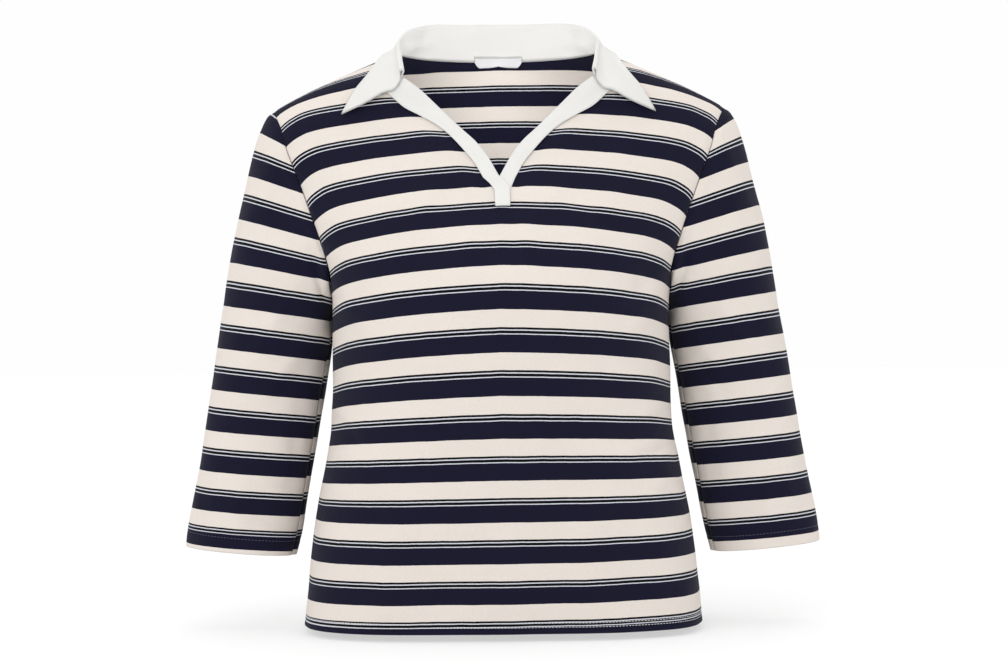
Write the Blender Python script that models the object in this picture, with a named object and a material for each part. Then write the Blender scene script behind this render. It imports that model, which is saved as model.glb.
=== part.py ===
"""A striped rugby-style jersey top with a white woven collar, filled out as on a figure.

Metres, +Z up. The front faces -Y and +X is the wearer's left. The origin lies midway
between the shoulders, where the wearer carries the garment. Every piece is a wall of
cloth, and neighbouring pieces keep a small gap at their seams.
"""
import math

import bmesh
import bpy
import numpy as np

# Cloth
JERSEY = 0.0015
WOVEN = 0.0016
SEAM_GAP = 0.0003
COLLAR_GAP = 0.0005
HEM_ALLOWANCE = 0.012
HEM_WALL = 0.0027

# Heights of the body
HEM = -0.562
UNDERARM = -0.245
V_BOTTOM = -0.137

# Shoulders
SHOULDER_TOP = 0.045
SHOULDER_SLOPE = 0.42
SHOULDER_DROOP = 1.2
DROOP_START = 0.16
SHOULDER_BREADTH = 0.2245
SHOULDER_ROUND = 0.045
NECK_SIDE = 0.100
NECK_BACK = 0.002
NECK_RISE = 0.001

# Mesh counts
BODY_ROWS = 15
ARM_ROWS = 15
V_ROW = 4
BODY_COLUMNS = 12
NECK_COLUMNS = 6
NECK_ROWS = 3
SLEEVE_ROWS = 18
BAND_ROWS = 12
BAND_COLUMNS = 2
LABEL_COLUMNS = 8
DENSE = 241

NAVY = (0.017, 0.017, 0.034, 1.0)
WHITE = (0.86, 0.86, 0.84, 1.0)


class Table:
    """Rows of named columns, read between its rows by a curve that never overshoots."""

    def __init__(self, names, rows):
        self.names = names.split()
        self.rows = np.array(rows, float)

    def at(self, name, key):
        """The named column where the first column holds key."""
        x = self.rows[:, 0]
        y = self.rows[:, self.names.index(name)]
        step = np.diff(x)
        rise = np.diff(y) / step
        slope = np.zeros(len(x))
        for k in range(1, len(x) - 1):
            if rise[k] * rise[k - 1] > 0:
                before = 2 * step[k] + step[k - 1]
                after = step[k] + 2 * step[k - 1]
                slope[k] = (before + after) / (before / rise[k - 1] + after / rise[k])
        slope[0] = rise[0]
        slope[-1] = rise[-1]
        key = np.clip(np.asarray(key, float), x[0], x[-1])
        i = np.clip(np.searchsorted(x, key, "right") - 1, 0, len(x) - 2)
        h = step[i]
        t = (key - x[i]) / h
        return (y[i] * (1 + 2 * t) * (1 - t) ** 2 + slope[i] * h * t * (1 - t) ** 2
                + y[i + 1] * t * t * (3 - 2 * t) + slope[i + 1] * h * t * t * (t - 1))


# The body's level sections. Squareness is the power of the rounded outline.
BODY = Table("height half_breadth front back squareness", [
    (-0.562, 0.1965, 0.108, 0.110, 3.3),
    (-0.515, 0.1920, 0.112, 0.108, 3.1),
    (-0.460, 0.1855, 0.116, 0.106, 2.9),
    (-0.405, 0.1755, 0.121, 0.105, 2.7),
    (-0.365, 0.1690, 0.126, 0.106, 2.5),
    (-0.325, 0.1674, 0.130, 0.108, 2.35),
    (-0.280, 0.1674, 0.133, 0.112, 2.3),
    (-0.245, 0.1676, 0.132, 0.115, 2.35),
    (-0.225, 0.1708, 0.127, 0.116, 2.4),
    (-0.205, 0.1780, 0.119, 0.117, 2.5),
    (-0.168, 0.1965, 0.102, 0.116, 2.5),
    (-0.127, 0.2155, 0.081, 0.111, 2.5),
    (-0.095, 0.2310, 0.066, 0.103, 2.5),
    (-0.054, 0.2430, 0.050, 0.089, 2.5),
    (0.000, 0.2500, 0.045, 0.068, 2.5),
    (0.045, 0.2500, 0.044, 0.062, 2.5),
])

# The armhole seam from the underarm (rise 0) to the shoulder tip (rise 1).
ARMHOLE = Table("rise breadth", [
    (0.00, 0.1676),
    (0.12, 0.1670),
    (0.21, 0.1700),
    (0.31, 0.1757),
    (0.40, 0.1815),
    (0.53, 0.1903),
    (0.62, 0.1967),
    (0.71, 0.2035),
    (0.78, 0.2084),
    (0.89, 0.2145),
    (1.00, SHOULDER_BREADTH),
])

# Each V band from the collar (run 0) to the bottom of the V (run 1), on the wearer's left.
# Its outer corner goes on under the collar.
BAND = Table("run inner_x inner_z outer_x outer_z", [
    (-0.06, 0.0995, -0.0234, 0.1113, -0.0397),
    (0.00, 0.0938, -0.0275, 0.1060, -0.0445),
    (0.17, 0.0777, -0.0392, 0.0910, -0.0580),
    (0.30, 0.0660, -0.0505, 0.0777, -0.0655),
    (0.50, 0.0470, -0.0700, 0.0580, -0.0775),
    (0.63, 0.0345, -0.0825, 0.0462, -0.0880),
    (0.75, 0.0220, -0.0945, 0.0345, -0.1010),
    (0.87, 0.0110, -0.1095, 0.0232, -0.1155),
    (1.00, 0.0008, -0.1280, 0.0150, -0.1300),
])

# The stub below the V, sewn through both bands.
STUB = Table("run left_x left_z right_x right_z", [
    (0.0, -0.0008, -0.1280, -0.0150, -0.1300),
    (0.3, 0.0072, -0.1355, -0.0082, -0.1366),
    (0.5, 0.0098, -0.1415, -0.0044, -0.1430),
    (1.0, 0.0100, -0.1580, -0.0037, -0.1580),
])
BAND_ON_PANEL = 0.75
BAND_LIFT = 0.0007
BAND_START = 0.02
BAND_UNDER = 0.055
BAND_UNDER_REACH = 0.15
STUB_SHARES = (0.3, 0.5, 0.75, 1.0)
UNDER_END = (0.0008, -0.1264, 0.0110, -0.1390)

# The bare label inside the neck
LABEL_BREADTH = 0.050
LABEL_HEIGHT = 0.0095
LABEL_TOP = -0.0047
LABEL_CORNER = 0.003
LABEL_WALL = 0.0008
LABEL_GAP = 0.0013

# The sleeve's outer and inner lines by height, and its sections from the armhole (run 0)
# to the cuff (run 1). A reach is the share of the line's height that a section has passed.
SLEEVE_OUTER = Table("height breadth", [
    (-0.4870, 0.3170),
    (-0.4760, 0.3160),
    (-0.4260, 0.3070),
    (-0.3665, 0.2970),
    (-0.3065, 0.2885),
    (-0.2465, 0.2785),
    (-0.1860, 0.2685),
    (-0.1250, 0.2535),
    (-0.0950, 0.2455),
    (-0.0660, 0.2350),
    (-0.0540, SHOULDER_BREADTH),
])
SLEEVE_INNER = Table("height breadth", [
    (-0.4970, 0.2075),
    (-0.4660, 0.2000),
    (-0.4300, 0.1940),
    (-0.3900, 0.1868),
    (-0.3450, 0.1795),
    (-0.3200, 0.1755),
    (-0.3000, 0.1720),
    (-0.2850, 0.1700),
    (-0.2650, 0.1692),
    (-0.2450, 0.1682),
])
SLEEVE = Table("run outer_reach inner_reach middle_y front back", [
    (0.00, 0.000, 0.000, 0.000, 0.055, 0.058),
    (0.08, 0.095, 0.030, 0.003, 0.054, 0.057),
    (0.20, 0.240, 0.090, 0.009, 0.054, 0.054),
    (0.35, 0.410, 0.200, 0.016, 0.051, 0.051),
    (0.50, 0.560, 0.350, 0.017, 0.048, 0.048),
    (0.75, 0.790, 0.660, 0.010, 0.043, 0.043),
    (1.00, 1.000, 1.000, 0.004, 0.039, 0.039),
])
SLEEVE_SQUARENESS = 2.15
SLEEVE_SETTLES = 0.30
SLEEVE_SPACING = 1.25
CUFF_ALLOWANCE = 0.036
CUFF_STEP = 0.003

# The collar on the wearer's left, from the back (turn 0) past the neck's side to the front
# end (turn 1). The roll line is given by its way from the neck seam, and the outer edge lies
# on the body, in breadth and in girth from the shoulder line, which is negative in front.
COLLAR = Table("turn roll_dx roll_dy roll_dz edge_x edge_girth", [
    (0.00, 0.0000, -0.0075, 0.0380, 0.0000, 0.0867),
    (0.12, 0.0003, -0.0068, 0.0378, 0.0300, 0.0746),
    (0.24, 0.0008, -0.0045, 0.0375, 0.0580, 0.0627),
    (0.36, 0.0013, -0.0030, 0.0350, 0.0825, 0.0508),
    (0.48, 0.0020, -0.0045, 0.0285, 0.0965, 0.0386),
    (0.60, 0.0014, -0.0040, 0.0180, 0.1048, 0.0225),
    (0.72, -0.0003, -0.0040, 0.0105, 0.1098, -0.0040),
    (0.81, -0.0010, -0.0036, 0.0082, 0.1240, -0.0365),
    (0.91, -0.0018, -0.0045, 0.0076, 0.1400, -0.0528),
    (1.00, -0.0040, -0.0060, 0.0078, 0.1528, -0.0714),
])
NECK_SIDE_TURN = 0.72
COLLAR_END = 0.985
COLLAR_LIFT = 0.003
# The collar's front edge from the roll line to the point, in breadth and height.
LEADING = Table("run breadth height lift", [
    (0.00, 0.0926, -0.0271, 0.0058),
    (0.07, 0.0947, -0.0325, 0.0051),
    (0.16, 0.0982, -0.0386, 0.0045),
    (0.24, 0.1026, -0.0428, 0.0042),
    (0.34, 0.1092, -0.0441, 0.0045),
    (0.55, 0.1233, -0.0515, 0.0056),
    (0.78, 0.1378, -0.0590, 0.0055),
    (1.00, 0.1531, -0.0645, 0.0030),
])
LEADING_START = 0.60
STAND_SHARES = (0.0, 0.35, 0.7)
ROLL_RADIUS = 0.0028
END_RADIUS = 0.0023
PRESSED_START = 0.80
TURN_STEP = 0.03
ROLL_ANGLES = (175, 132, 90, 48, 10)
FALL_SHARES = (0.16, 0.34, 0.55, 0.78, 1.0)


def shoulder_line(x):
    """Height of the shoulder seam's line at breadth x."""
    x = np.abs(x)
    droop = SHOULDER_DROOP * np.maximum(x - DROOP_START, 0) ** 2
    return SHOULDER_TOP - SHOULDER_SLOPE * x - droop


def girth_height(x, girth):
    """Height of the point that lies a girth below the shoulder line, measured on the cloth."""
    turn = np.minimum(np.abs(girth) / SHOULDER_ROUND, math.pi / 2)
    below = np.maximum(np.abs(girth) - SHOULDER_ROUND * math.pi / 2, 0)
    return shoulder_line(x) - SHOULDER_ROUND * (1 - np.cos(turn)) - below


def height_girth(x, z):
    """The inverse of girth_height, without its sign."""
    drop = np.maximum(shoulder_line(x) - z, 0)
    turn = np.arccos(np.clip(1 - drop / SHOULDER_ROUND, 0, 1))
    return SHOULDER_ROUND * turn + np.maximum(drop - SHOULDER_ROUND, 0)


def cloth(x, girth, side):
    """Points and outward normals of the body's cloth. side is -1 in front and 1 behind."""
    x = np.asarray(x, float)
    girth = np.abs(np.asarray(girth, float))
    z = girth_height(x, girth)
    depth_name = "front" if side < 0 else "back"
    step = 0.001
    half = BODY.at("half_breadth", z)
    depth = BODY.at(depth_name, z)
    power = BODY.at("squareness", z)
    half_slope = (BODY.at("half_breadth", z + step) - BODY.at("half_breadth", z - step)) / (2 * step)
    depth_slope = (BODY.at(depth_name, z + step) - BODY.at(depth_name, z - step)) / (2 * step)
    beside = np.minimum(np.abs(x) / half, 1) ** power
    ahead = 1 - beside
    share = ahead ** (1 / power)
    turn = np.minimum(girth / SHOULDER_ROUND, math.pi / 2)
    y = side * (depth * share * np.sin(turn) + SEAM_GAP / 2)
    # The gradient of the section's formula, scaled so that it stays finite at every seam.
    over = np.cos(turn) / SHOULDER_ROUND
    line_slope = (shoulder_line(x + step) - shoulder_line(x - step)) / (2 * step)
    flat = np.sin(turn) ** 2
    nx = flat * np.sign(x) * (np.abs(x) / half) ** (power - 1) / half - ahead * over * line_slope
    ny = side * np.sin(turn) * share ** (power - 1) / depth
    nz = ahead * over - flat * (beside * half_slope / half + ahead * depth_slope / depth)
    normal = np.stack([nx, ny, nz], -1)
    normal /= np.linalg.norm(normal, axis=-1, keepdims=True)
    return np.stack([x, y, z], -1), normal


def neckline(x):
    """Height of the back's neck edge at breadth x."""
    return NECK_BACK + NECK_RISE * (x / NECK_SIDE) ** 2


def lengths(points):
    """Distance along a line of points, from 0 to 1."""
    gone = np.concatenate([[0], np.cumsum(np.linalg.norm(np.diff(points, axis=0), axis=1))])
    return gone / gone[-1]


def armhole(side):
    """Breadth and girth of the armhole seam from underarm to tip, in even steps of cloth."""
    rise = (1 - np.cos(np.linspace(0, math.pi, DENSE))) / 2
    x = ARMHOLE.at("breadth", rise)
    tip = shoulder_line(SHOULDER_BREADTH)
    girth = height_girth(x, UNDERARM + (tip - UNDERARM) * rise)
    girth[-1] = 0
    points = cloth(x, girth, side)[0]
    share = np.linspace(0, 1, ARM_ROWS + 1)
    gone = lengths(points)
    return np.interp(share, gone, x), np.interp(share, gone, girth)


def band_line(run, across):
    """Breadth and height on a V band. across is 0 at its free edge and 1 at its outer edge."""
    x = BAND.at("inner_x", run) * (1 - across) + BAND.at("outer_x", run) * across
    z = BAND.at("inner_z", run) * (1 - across) + BAND.at("outer_z", run) * across
    return x, z


def v_edge():
    """Breadth and girth of the front's edge beside the V, in even steps from its bottom."""
    run = np.linspace(1, 0, DENSE)
    x, z = band_line(run, 1 - BAND_ON_PANEL)
    x = np.concatenate([[0], x])
    girth = height_girth(x, np.concatenate([[V_BOTTOM], z]))
    even = np.linspace(0, 1, ARM_ROWS - V_ROW - NECK_ROWS + 1)[1:]
    gone = lengths(cloth(x, girth, -1)[0])
    return np.interp(even, gone, x), np.interp(even, gone, girth)


def body_heights():
    """Heights of the level rows below the underarm, with a narrow one at the hem's fold."""
    fold = HEM + HEM_ALLOWANCE
    return np.concatenate([[HEM, fold], np.linspace(fold + JERSEY, UNDERARM, BODY_ROWS + 1)])


def level_row(z, side, columns):
    """Evenly spaced points of a level row from the centre to the side seam."""
    half = BODY.at("half_breadth", z)
    xs = half * np.sin(np.linspace(0, math.pi / 2, DENSE)) ** 0.9
    xs[-1] = half
    gone = lengths(cloth(xs, height_girth(xs, z), side)[0])
    x = np.interp(np.linspace(0, 1, columns + 1), gone, xs)
    return x, height_girth(x, z)


def patch(low, inner, outer, top):
    """Rows of cloth between four lines of breadths and girths: the lowest row, the inner
    edge, the armhole and the top row."""
    up = np.linspace(0, 1, len(inner[0]))[:, None]
    out = np.linspace(0, 1, len(low[0]))[None, :]
    sheets = []
    for k in (0, 1):
        between_rows = low[k][None] * (1 - up) + top[k][None] * up
        between_edges = inner[k][:, None] * (1 - out) + outer[k][:, None] * out
        corners = (low[k][0] * (1 - up) * (1 - out) + low[k][-1] * (1 - up) * out
                   + top[k][0] * up * (1 - out) + top[k][-1] * up * out)
        sheets.append(between_rows + between_edges - corners)
    return list(zip(*sheets))[1:]


def front_rows():
    """Breadths and girths of the front's rows from the hem to the shoulder seam."""
    rows = [level_row(z, -1, BODY_COLUMNS) for z in body_heights()]
    edge_x, edge_girth = v_edge()
    up = np.linspace(1, 0, NECK_ROWS + 1)[1:]
    neck_x = NECK_SIDE + (edge_x[-1] - NECK_SIDE) * up
    rise = np.linspace(UNDERARM, V_BOTTOM, V_ROW + 1)
    inner_x = np.concatenate([np.zeros(V_ROW + 1), edge_x, neck_x])
    inner_girth = np.concatenate([height_girth(0, rise), edge_girth, edge_girth[-1] * up])
    top_x = np.linspace(NECK_SIDE, SHOULDER_BREADTH, BODY_COLUMNS + 1)
    top = (top_x, np.zeros(BODY_COLUMNS + 1))
    return rows + patch(rows[-1], (inner_x, inner_girth), armhole(-1), top)


def back_rows():
    """Breadths and girths of the back's rows from the hem to the shoulders and neckline."""
    rows = [level_row(z, 1, BODY_COLUMNS) for z in body_heights()]
    inner_z = np.linspace(UNDERARM, NECK_BACK, ARM_ROWS + 1)
    inner = (np.zeros(ARM_ROWS + 1), height_girth(0, inner_z))
    neck_x = NECK_SIDE * np.sin(np.linspace(0, math.pi / 2, NECK_COLUMNS + 1))
    neck_girth = height_girth(neck_x, neckline(neck_x))
    neck_girth[-1] = 0
    beside = np.linspace(NECK_SIDE, SHOULDER_BREADTH, BODY_COLUMNS - NECK_COLUMNS + 1)[1:]
    top = (np.concatenate([neck_x, beside]), np.concatenate([neck_girth, np.zeros(len(beside))]))
    return rows + patch(rows[-1], inner, armhole(1), top)


def superellipse(turn, power):
    """Cosine and sine of a rounded outline with the given squareness."""
    c, s = np.cos(turn), np.sin(turn)
    return (np.sign(c) * np.abs(c) ** (2 / power), np.sign(s) * np.abs(s) ** (2 / power))


def armhole_loop():
    """The armhole's points from the underarm up the front and down the back, with the
    body's normals and the directions that lead off its cloth."""
    front_x, front_girth = armhole(-1)
    back_x, back_girth = armhole(1)
    points, normals = cloth(front_x, front_girth, -1)
    behind, normals_behind = cloth(back_x, back_girth, 1)
    points = np.concatenate([points, behind[-2:0:-1]])
    normals = np.concatenate([normals, normals_behind[-2:0:-1]])
    for seam in (0, ARM_ROWS):
        points[seam, 1] = 0
        normals[seam, 1] = 0
        normals[seam] /= np.linalg.norm(normals[seam])
    along = np.roll(points, -1, 0) - np.roll(points, 1, 0)
    leading = np.cross(along, normals)
    leading /= np.linalg.norm(leading, axis=1, keepdims=True)
    return points, normals, leading


def sleeve_lines(run):
    """The sleeve's outer and inner points, its middle and its two depths along its run."""
    reach = SLEEVE.at("outer_reach", run)
    top, cuff = SLEEVE_OUTER.rows[-1, 0], SLEEVE_OUTER.rows[0, 0]
    outer_z = top + (cuff - top) * reach
    reach = SLEEVE.at("inner_reach", run)
    top, cuff = SLEEVE_INNER.rows[-1, 0], SLEEVE_INNER.rows[0, 0]
    inner_z = top + (cuff - top) * reach
    middle = SLEEVE.at("middle_y", run)
    outer = np.stack([SLEEVE_OUTER.at("breadth", outer_z), middle, outer_z], -1)
    inner = np.stack([SLEEVE_INNER.at("breadth", inner_z), middle, inner_z], -1)
    return outer, inner, SLEEVE.at("front", run), SLEEVE.at("back", run)


def sleeve_grid():
    """Outer and inner points of the sleeve on the wearer's left, ring by ring."""
    seam, body_normals, leading = armhole_loop()
    around = len(seam)
    turn = np.arange(around) * 2 * math.pi / around
    c, s = superellipse(turn, SLEEVE_SQUARENESS)
    cuff_fold = 1 - CUFF_ALLOWANCE
    run = np.linspace(0, 1, SLEEVE_ROWS + 1)[:-1] ** SLEEVE_SPACING * cuff_fold
    run = np.concatenate([run, [cuff_fold, cuff_fold + CUFF_STEP, 1]])
    outer, inner, front, back = sleeve_lines(run)
    middle = (outer + inner) / 2
    half = (outer - inner) / 2
    rings = middle[:, None] - half[:, None] * c[None, :, None]
    rings[..., 1] -= np.where(s > 0, front[:, None], back[:, None]) * s[None]
    settle = np.clip(1 - run / SLEEVE_SETTLES, 0, 1) ** 2 * (1 + 2 * run / SLEEVE_SETTLES)
    rings += settle[:, None, None] * (seam - rings[0])[None]
    down = np.gradient(rings, axis=0)
    side = np.roll(rings, -1, 1) - np.roll(rings, 1, 1)
    normals = np.cross(down, side)
    normals /= np.linalg.norm(normals, axis=-1, keepdims=True)
    # At the seam the wall turns out of the body's cloth about its outer edge, so that both
    # walls keep the gap wherever the sleeve folds down beside the body.
    cosine = np.sum(normals[0] * body_normals, -1)
    sine = np.maximum(-np.sum(normals[0] * leading, -1), 0)
    size = np.maximum(np.hypot(cosine, sine), 1e-6)
    cosine, sine = (cosine / size)[:, None], (sine / size)[:, None]
    normals[0] = cosine * body_normals - sine * leading
    off = (1 + cosine + sine) * leading + (1 - cosine + sine) * body_normals
    off /= np.linalg.norm(off, axis=1, keepdims=True)
    rings[0] = seam + SEAM_GAP * off
    wall = np.where(run > cuff_fold + CUFF_STEP / 2, HEM_WALL, JERSEY)
    return rings, rings - normals * wall[:, None, None]


def unit(v):
    return v / np.maximum(np.linalg.norm(v, axis=-1, keepdims=True), 1e-9)


def hermite(t, start, start_slope, end, end_slope):
    """Points between two ends that leave and arrive along the given slopes."""
    t = np.asarray(t)[:, None]
    return (start * (1 + 2 * t) * (1 - t) ** 2 + start_slope * t * (1 - t) ** 2
            + end * t * t * (3 - 2 * t) + end_slope * t * t * (t - 1))


def neck_edge():
    """The corners of the panels' neck edge on the wearer's left, from the back's middle to
    the V: turns, points, normals and the ways off the cloth."""
    back_turns = np.linspace(0, NECK_SIDE_TURN, NECK_COLUMNS + 1)
    x = NECK_SIDE * np.sin(np.linspace(0, math.pi / 2, NECK_COLUMNS + 1))
    girth = height_girth(x, neckline(x))
    girth[-1] = 0
    points, normals = cloth(x, girth, 1)
    share = np.linspace(0, 1, NECK_ROWS + 1)[1:]
    end_x, end_z = band_line(0, 1 - BAND_ON_PANEL)
    ahead, normals_ahead = cloth(NECK_SIDE + (end_x - NECK_SIDE) * share,
                                 height_girth(end_x, end_z) * share, -1)
    turns = np.concatenate([back_turns, NECK_SIDE_TURN + (1 - NECK_SIDE_TURN) * share])
    points = np.concatenate([points, ahead])
    normals = np.concatenate([normals, normals_ahead])
    leading = unit(np.cross(np.gradient(points, axis=0), normals))
    leading[0] = unit(leading[0] * np.array([0, 1, 1]))
    return turns, points, normals, leading


def between(turn, turns, values):
    """The value on the straight line between the two nearest corners."""
    return np.array([np.interp(turn, turns, values[:, k]) for k in range(3)])


def roll_point(turn):
    """The top of the collar's roll."""
    turns, points, _, _ = neck_edge()
    way = np.array([float(COLLAR.at(name, turn)) for name in ("roll_dx", "roll_dy", "roll_dz")])
    return between(turn, turns, points) + way


def across(direction, along):
    """The direction's part at a right angle to a line."""
    return unit(direction - along * np.dot(direction, along))


def collar_line(turn):
    """One line across the collar on the wearer's left, from its seam over the roll to its edge."""
    turns, points, normals, leadings = neck_edge()
    point = between(turn, turns, points)
    normal = between(turn, turns, normals)
    leading = between(turn, turns, leadings)
    seam = point - normal * JERSEY + leading * COLLAR_GAP
    under = point + leading * COLLAR_GAP
    roll = roll_point(turn)
    before = max(turn - TURN_STEP, 0)
    along = unit(roll_point(min(turn + TURN_STEP, 1)) - roll_point(before))
    if turn == 0:
        along = np.array([1.0, 0.0, 0.0])
    girth = float(COLLAR.at("edge_girth", turn))
    point, normal = cloth(float(COLLAR.at("edge_x", turn)), abs(girth), -1 if girth < 0 else 1)
    edge = point + normal * (COLLAR_LIFT + WOVEN)
    up = across(np.array([0.0, 0.0, 1.0]), along)
    outward = across(unit((edge - roll) * np.array([1, 1, 0])), along)
    pressed = np.clip((turn - PRESSED_START) / (1 - PRESSED_START), 0, 1)
    radius = ROLL_RADIUS + (END_RADIUS - ROLL_RADIUS) * pressed
    angles = np.radians(ROLL_ANGLES)[:, None]
    arc = roll + radius * (np.cos(angles) * outward + (np.sin(angles) - 1) * up)
    arriving = unit(arc[1] - arc[0])
    parting = unit(arc[-1] - arc[-2])
    rise = np.linalg.norm(arc[0] - seam)
    leaf = edge - arc[-1]
    fall_length = np.linalg.norm(leaf)
    settle = unit(leaf - normal * np.dot(leaf, normal))
    stand = hermite(STAND_SHARES, seam, unit(leading + up) * rise, arc[0], arriving * rise * 0.6)
    fall = hermite(FALL_SHARES, arc[-1], parting * fall_length * 0.4, edge,
                   settle * fall_length * 0.9)
    return np.concatenate([stand, arc]), fall, under


def leading_edge():
    """The front end of the collar's fall, from the roll line to the point."""
    x = LEADING.at("breadth", FALL_SHARES)
    z = LEADING.at("height", FALL_SHARES)
    points, normals = cloth(x, height_girth(x, z), -1)
    return points + normals * (LEADING.at("lift", FALL_SHARES) + WOVEN)[:, None]


def collar_grid():
    """The collar's upper points and normals, line by line from one front end to the other."""
    turns = np.concatenate([np.linspace(0, NECK_SIDE_TURN, 2 * NECK_COLUMNS + 1),
                            np.linspace(NECK_SIDE_TURN, 1, 2 * NECK_ROWS + 1)[1:]])
    turns[-1] = COLLAR_END
    lines = [collar_line(turn) for turn in turns]
    shift = leading_edge() - lines[-1][1]
    half = []
    for turn, (stand, fall, _) in zip(turns, lines):
        share = np.clip((turn - LEADING_START) / (1 - LEADING_START), 0, 1) ** 3
        half.append(np.concatenate([stand, fall + shift * share]))
    half = np.array(half)
    mirrored = half[:0:-1] * np.array([-1, 1, 1])
    grid = np.concatenate([mirrored, half])
    normals = unit(np.cross(np.gradient(grid, axis=0), np.gradient(grid, axis=1)))
    under = grid - normals * WOVEN
    seams = np.array([line[2] for line in lines])
    under[:, 0] = np.concatenate([seams[:0:-1] * np.array([-1, 1, 1]), seams])
    return grid, under


def band_grid(side):
    """Outer and inner points of a V band. side is 1 on the wearer's left."""
    run = np.linspace(BAND_START, 1, BAND_ROWS + 1)
    ends = []
    for r in run:
        under = BAND_UNDER * max(0, 1 - (r - BAND_START) / BAND_UNDER_REACH)
        (ix, iz), (ox, oz) = band_line(r, 0), band_line(r - under, 1)
        ends.append((side * ix, iz, side * ox, oz))
    if side < 0:
        for share in STUB_SHARES:
            ends.append([float(STUB.at(name, share)) for name in STUB.names[1:]])
    else:
        ends[-1] = UNDER_END
    across = np.linspace(0, 1, BAND_COLUMNS + 1)
    outer = []
    inner = []
    for ix, iz, ox, oz in ends:
        x = ix + (ox - ix) * across
        z = iz + (oz - iz) * across
        points, normals = cloth(x, height_girth(x, z), -1)
        outer.append(points + normals * (BAND_LIFT + WOVEN))
        inner.append(points + normals * BAND_LIFT)
    return np.array(outer), np.array(inner)


def label_grid():
    """The small label that hangs inside the back of the neck."""
    x = np.linspace(-LABEL_BREADTH / 2, LABEL_BREADTH / 2, LABEL_COLUMNS + 1)
    outer = []
    inner = []
    for drop in (LABEL_TOP, LABEL_TOP + LABEL_HEIGHT / 2, LABEL_TOP + LABEL_HEIGHT):
        low = drop > LABEL_TOP + LABEL_HEIGHT * 0.75
        inset = np.where(np.abs(x) > LABEL_BREADTH * 0.49, LABEL_CORNER if low else 0, 0)
        z = NECK_BACK - drop + inset
        points, normals = cloth(x, height_girth(x, z), 1)
        outer.append(points - normals * (JERSEY + LABEL_GAP))
        inner.append(points - normals * (JERSEY + LABEL_GAP + LABEL_WALL))
    return np.array(outer), np.array(inner)


def grid_faces(rows, columns, closed=False):
    """Quads of a grid whose points are numbered row by row."""
    faces = []
    for i in range(rows - 1):
        for j in range(columns if closed else columns - 1):
            k = (j + 1) % columns
            faces.append((i * columns + j, i * columns + k,
                          (i + 1) * columns + k, (i + 1) * columns + j))
    return faces


def material(name, colour, roughness):
    """A plain cloth finish."""
    finish = bpy.data.materials.new(name)
    finish.use_nodes = True
    shader = finish.node_tree.nodes["Principled BSDF"]
    shader.inputs["Base Color"].default_value = colour
    shader.inputs["Roughness"].default_value = roughness
    shader.inputs["Metallic"].default_value = 0.0
    return finish


def wall(name, outer, inner, faces, colour, roughness):
    """A closed wall of cloth from matching outer and inner points, joined round its edges."""
    outer = np.reshape(outer, (-1, 3))
    inner = np.reshape(inner, (-1, 3))
    count = len(outer)
    used = {}
    solid = []
    for face in faces:
        for a, b in zip(face, face[1:] + face[:1]):
            used[a, b] = True
        # Both sides of the wall are cut along the same, shorter diagonal.
        a, b, c, d = face
        if np.linalg.norm(outer[a] - outer[c]) <= np.linalg.norm(outer[b] - outer[d]):
            halves = (a, b, c), (a, c, d)
        else:
            halves = (a, b, d), (b, c, d)
        for half in halves:
            solid.append(half)
            solid.append(tuple(count + v for v in reversed(half)))
    for a, b in used:
        if (b, a) not in used:
            solid.append((b, a, count + a, count + b))
    mesh = bpy.data.meshes.new(name)
    mesh.from_pydata(np.concatenate([outer, inner]).tolist(), [], solid)
    shape = bmesh.new()
    shape.from_mesh(mesh)
    bmesh.ops.recalc_face_normals(shape, faces=shape.faces)
    shape.to_mesh(mesh)
    shape.free()
    mesh.materials.append(material(name, colour, roughness))
    mesh.shade_smooth()
    mesh.set_sharp_from_angle(angle=math.radians(50))
    piece = bpy.data.objects.new(name, mesh)
    bpy.context.collection.objects.link(piece)
    return piece


def panel(name, rows, side, split):
    """The front or back. Rows above split have no middle point and lie beside the V."""
    outer = []
    inner = []
    number = {}
    for half in (1, -1):
        for i, (x, girth) in enumerate(rows):
            points, normals = cloth(x, girth, side)
            normals[-1, 1] = 0 if i <= BODY_ROWS + 2 else normals[-1, 1]
            normals[-1] /= np.linalg.norm(normals[-1])
            depth = HEM_WALL if i < 2 else JERSEY
            inside = points - normals * depth
            mirror = np.array([half, 1, 1])
            for j in range(len(x)):
                if half < 0 and j == 0 and i <= split:
                    number[half, i, j] = number[1, i, j]
                    continue
                number[half, i, j] = len(outer)
                outer.append(points[j] * mirror)
                inner.append(inside[j] * mirror)
    faces = []
    for half in (1, -1):
        for i in range(len(rows) - 1):
            for j in range(BODY_COLUMNS):
                face = (number[half, i, j], number[half, i, j + 1],
                        number[half, i + 1, j + 1], number[half, i + 1, j])
                faces.append(face if half * side < 0 else face[::-1])
    return wall(name, outer, inner, faces, NAVY, 0.9)


def clear_scene():
    for item in list(bpy.data.objects):
        bpy.data.objects.remove(item, do_unlink=True)


def build():
    clear_scene()
    rows = front_rows()
    panel("front", rows, -1, BODY_ROWS + 2 + V_ROW)
    rows = back_rows()
    panel("back", rows, 1, len(rows))
    outer, inner = sleeve_grid()
    faces = grid_faces(outer.shape[0], outer.shape[1], closed=True)
    mirror = np.array([-1, 1, 1])
    wall("sleeve_left", outer, inner, faces, NAVY, 0.9)
    flipped = [face[::-1] for face in faces]
    wall("sleeve_right", outer * mirror, inner * mirror, flipped, NAVY, 0.9)
    outer, inner = collar_grid()
    wall("collar", outer, inner, grid_faces(*outer.shape[:2]), WHITE, 0.8)
    for name, side in (("band_left", 1), ("band_right", -1)):
        outer, inner = band_grid(side)
        faces = grid_faces(*outer.shape[:2])
        wall(name, outer, inner, faces if side < 0 else [f[::-1] for f in faces], WHITE, 0.8)
    outer, inner = label_grid()
    wall("neck_label", outer, inner, grid_faces(*outer.shape[:2]), WHITE, 0.7)


build()
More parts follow.
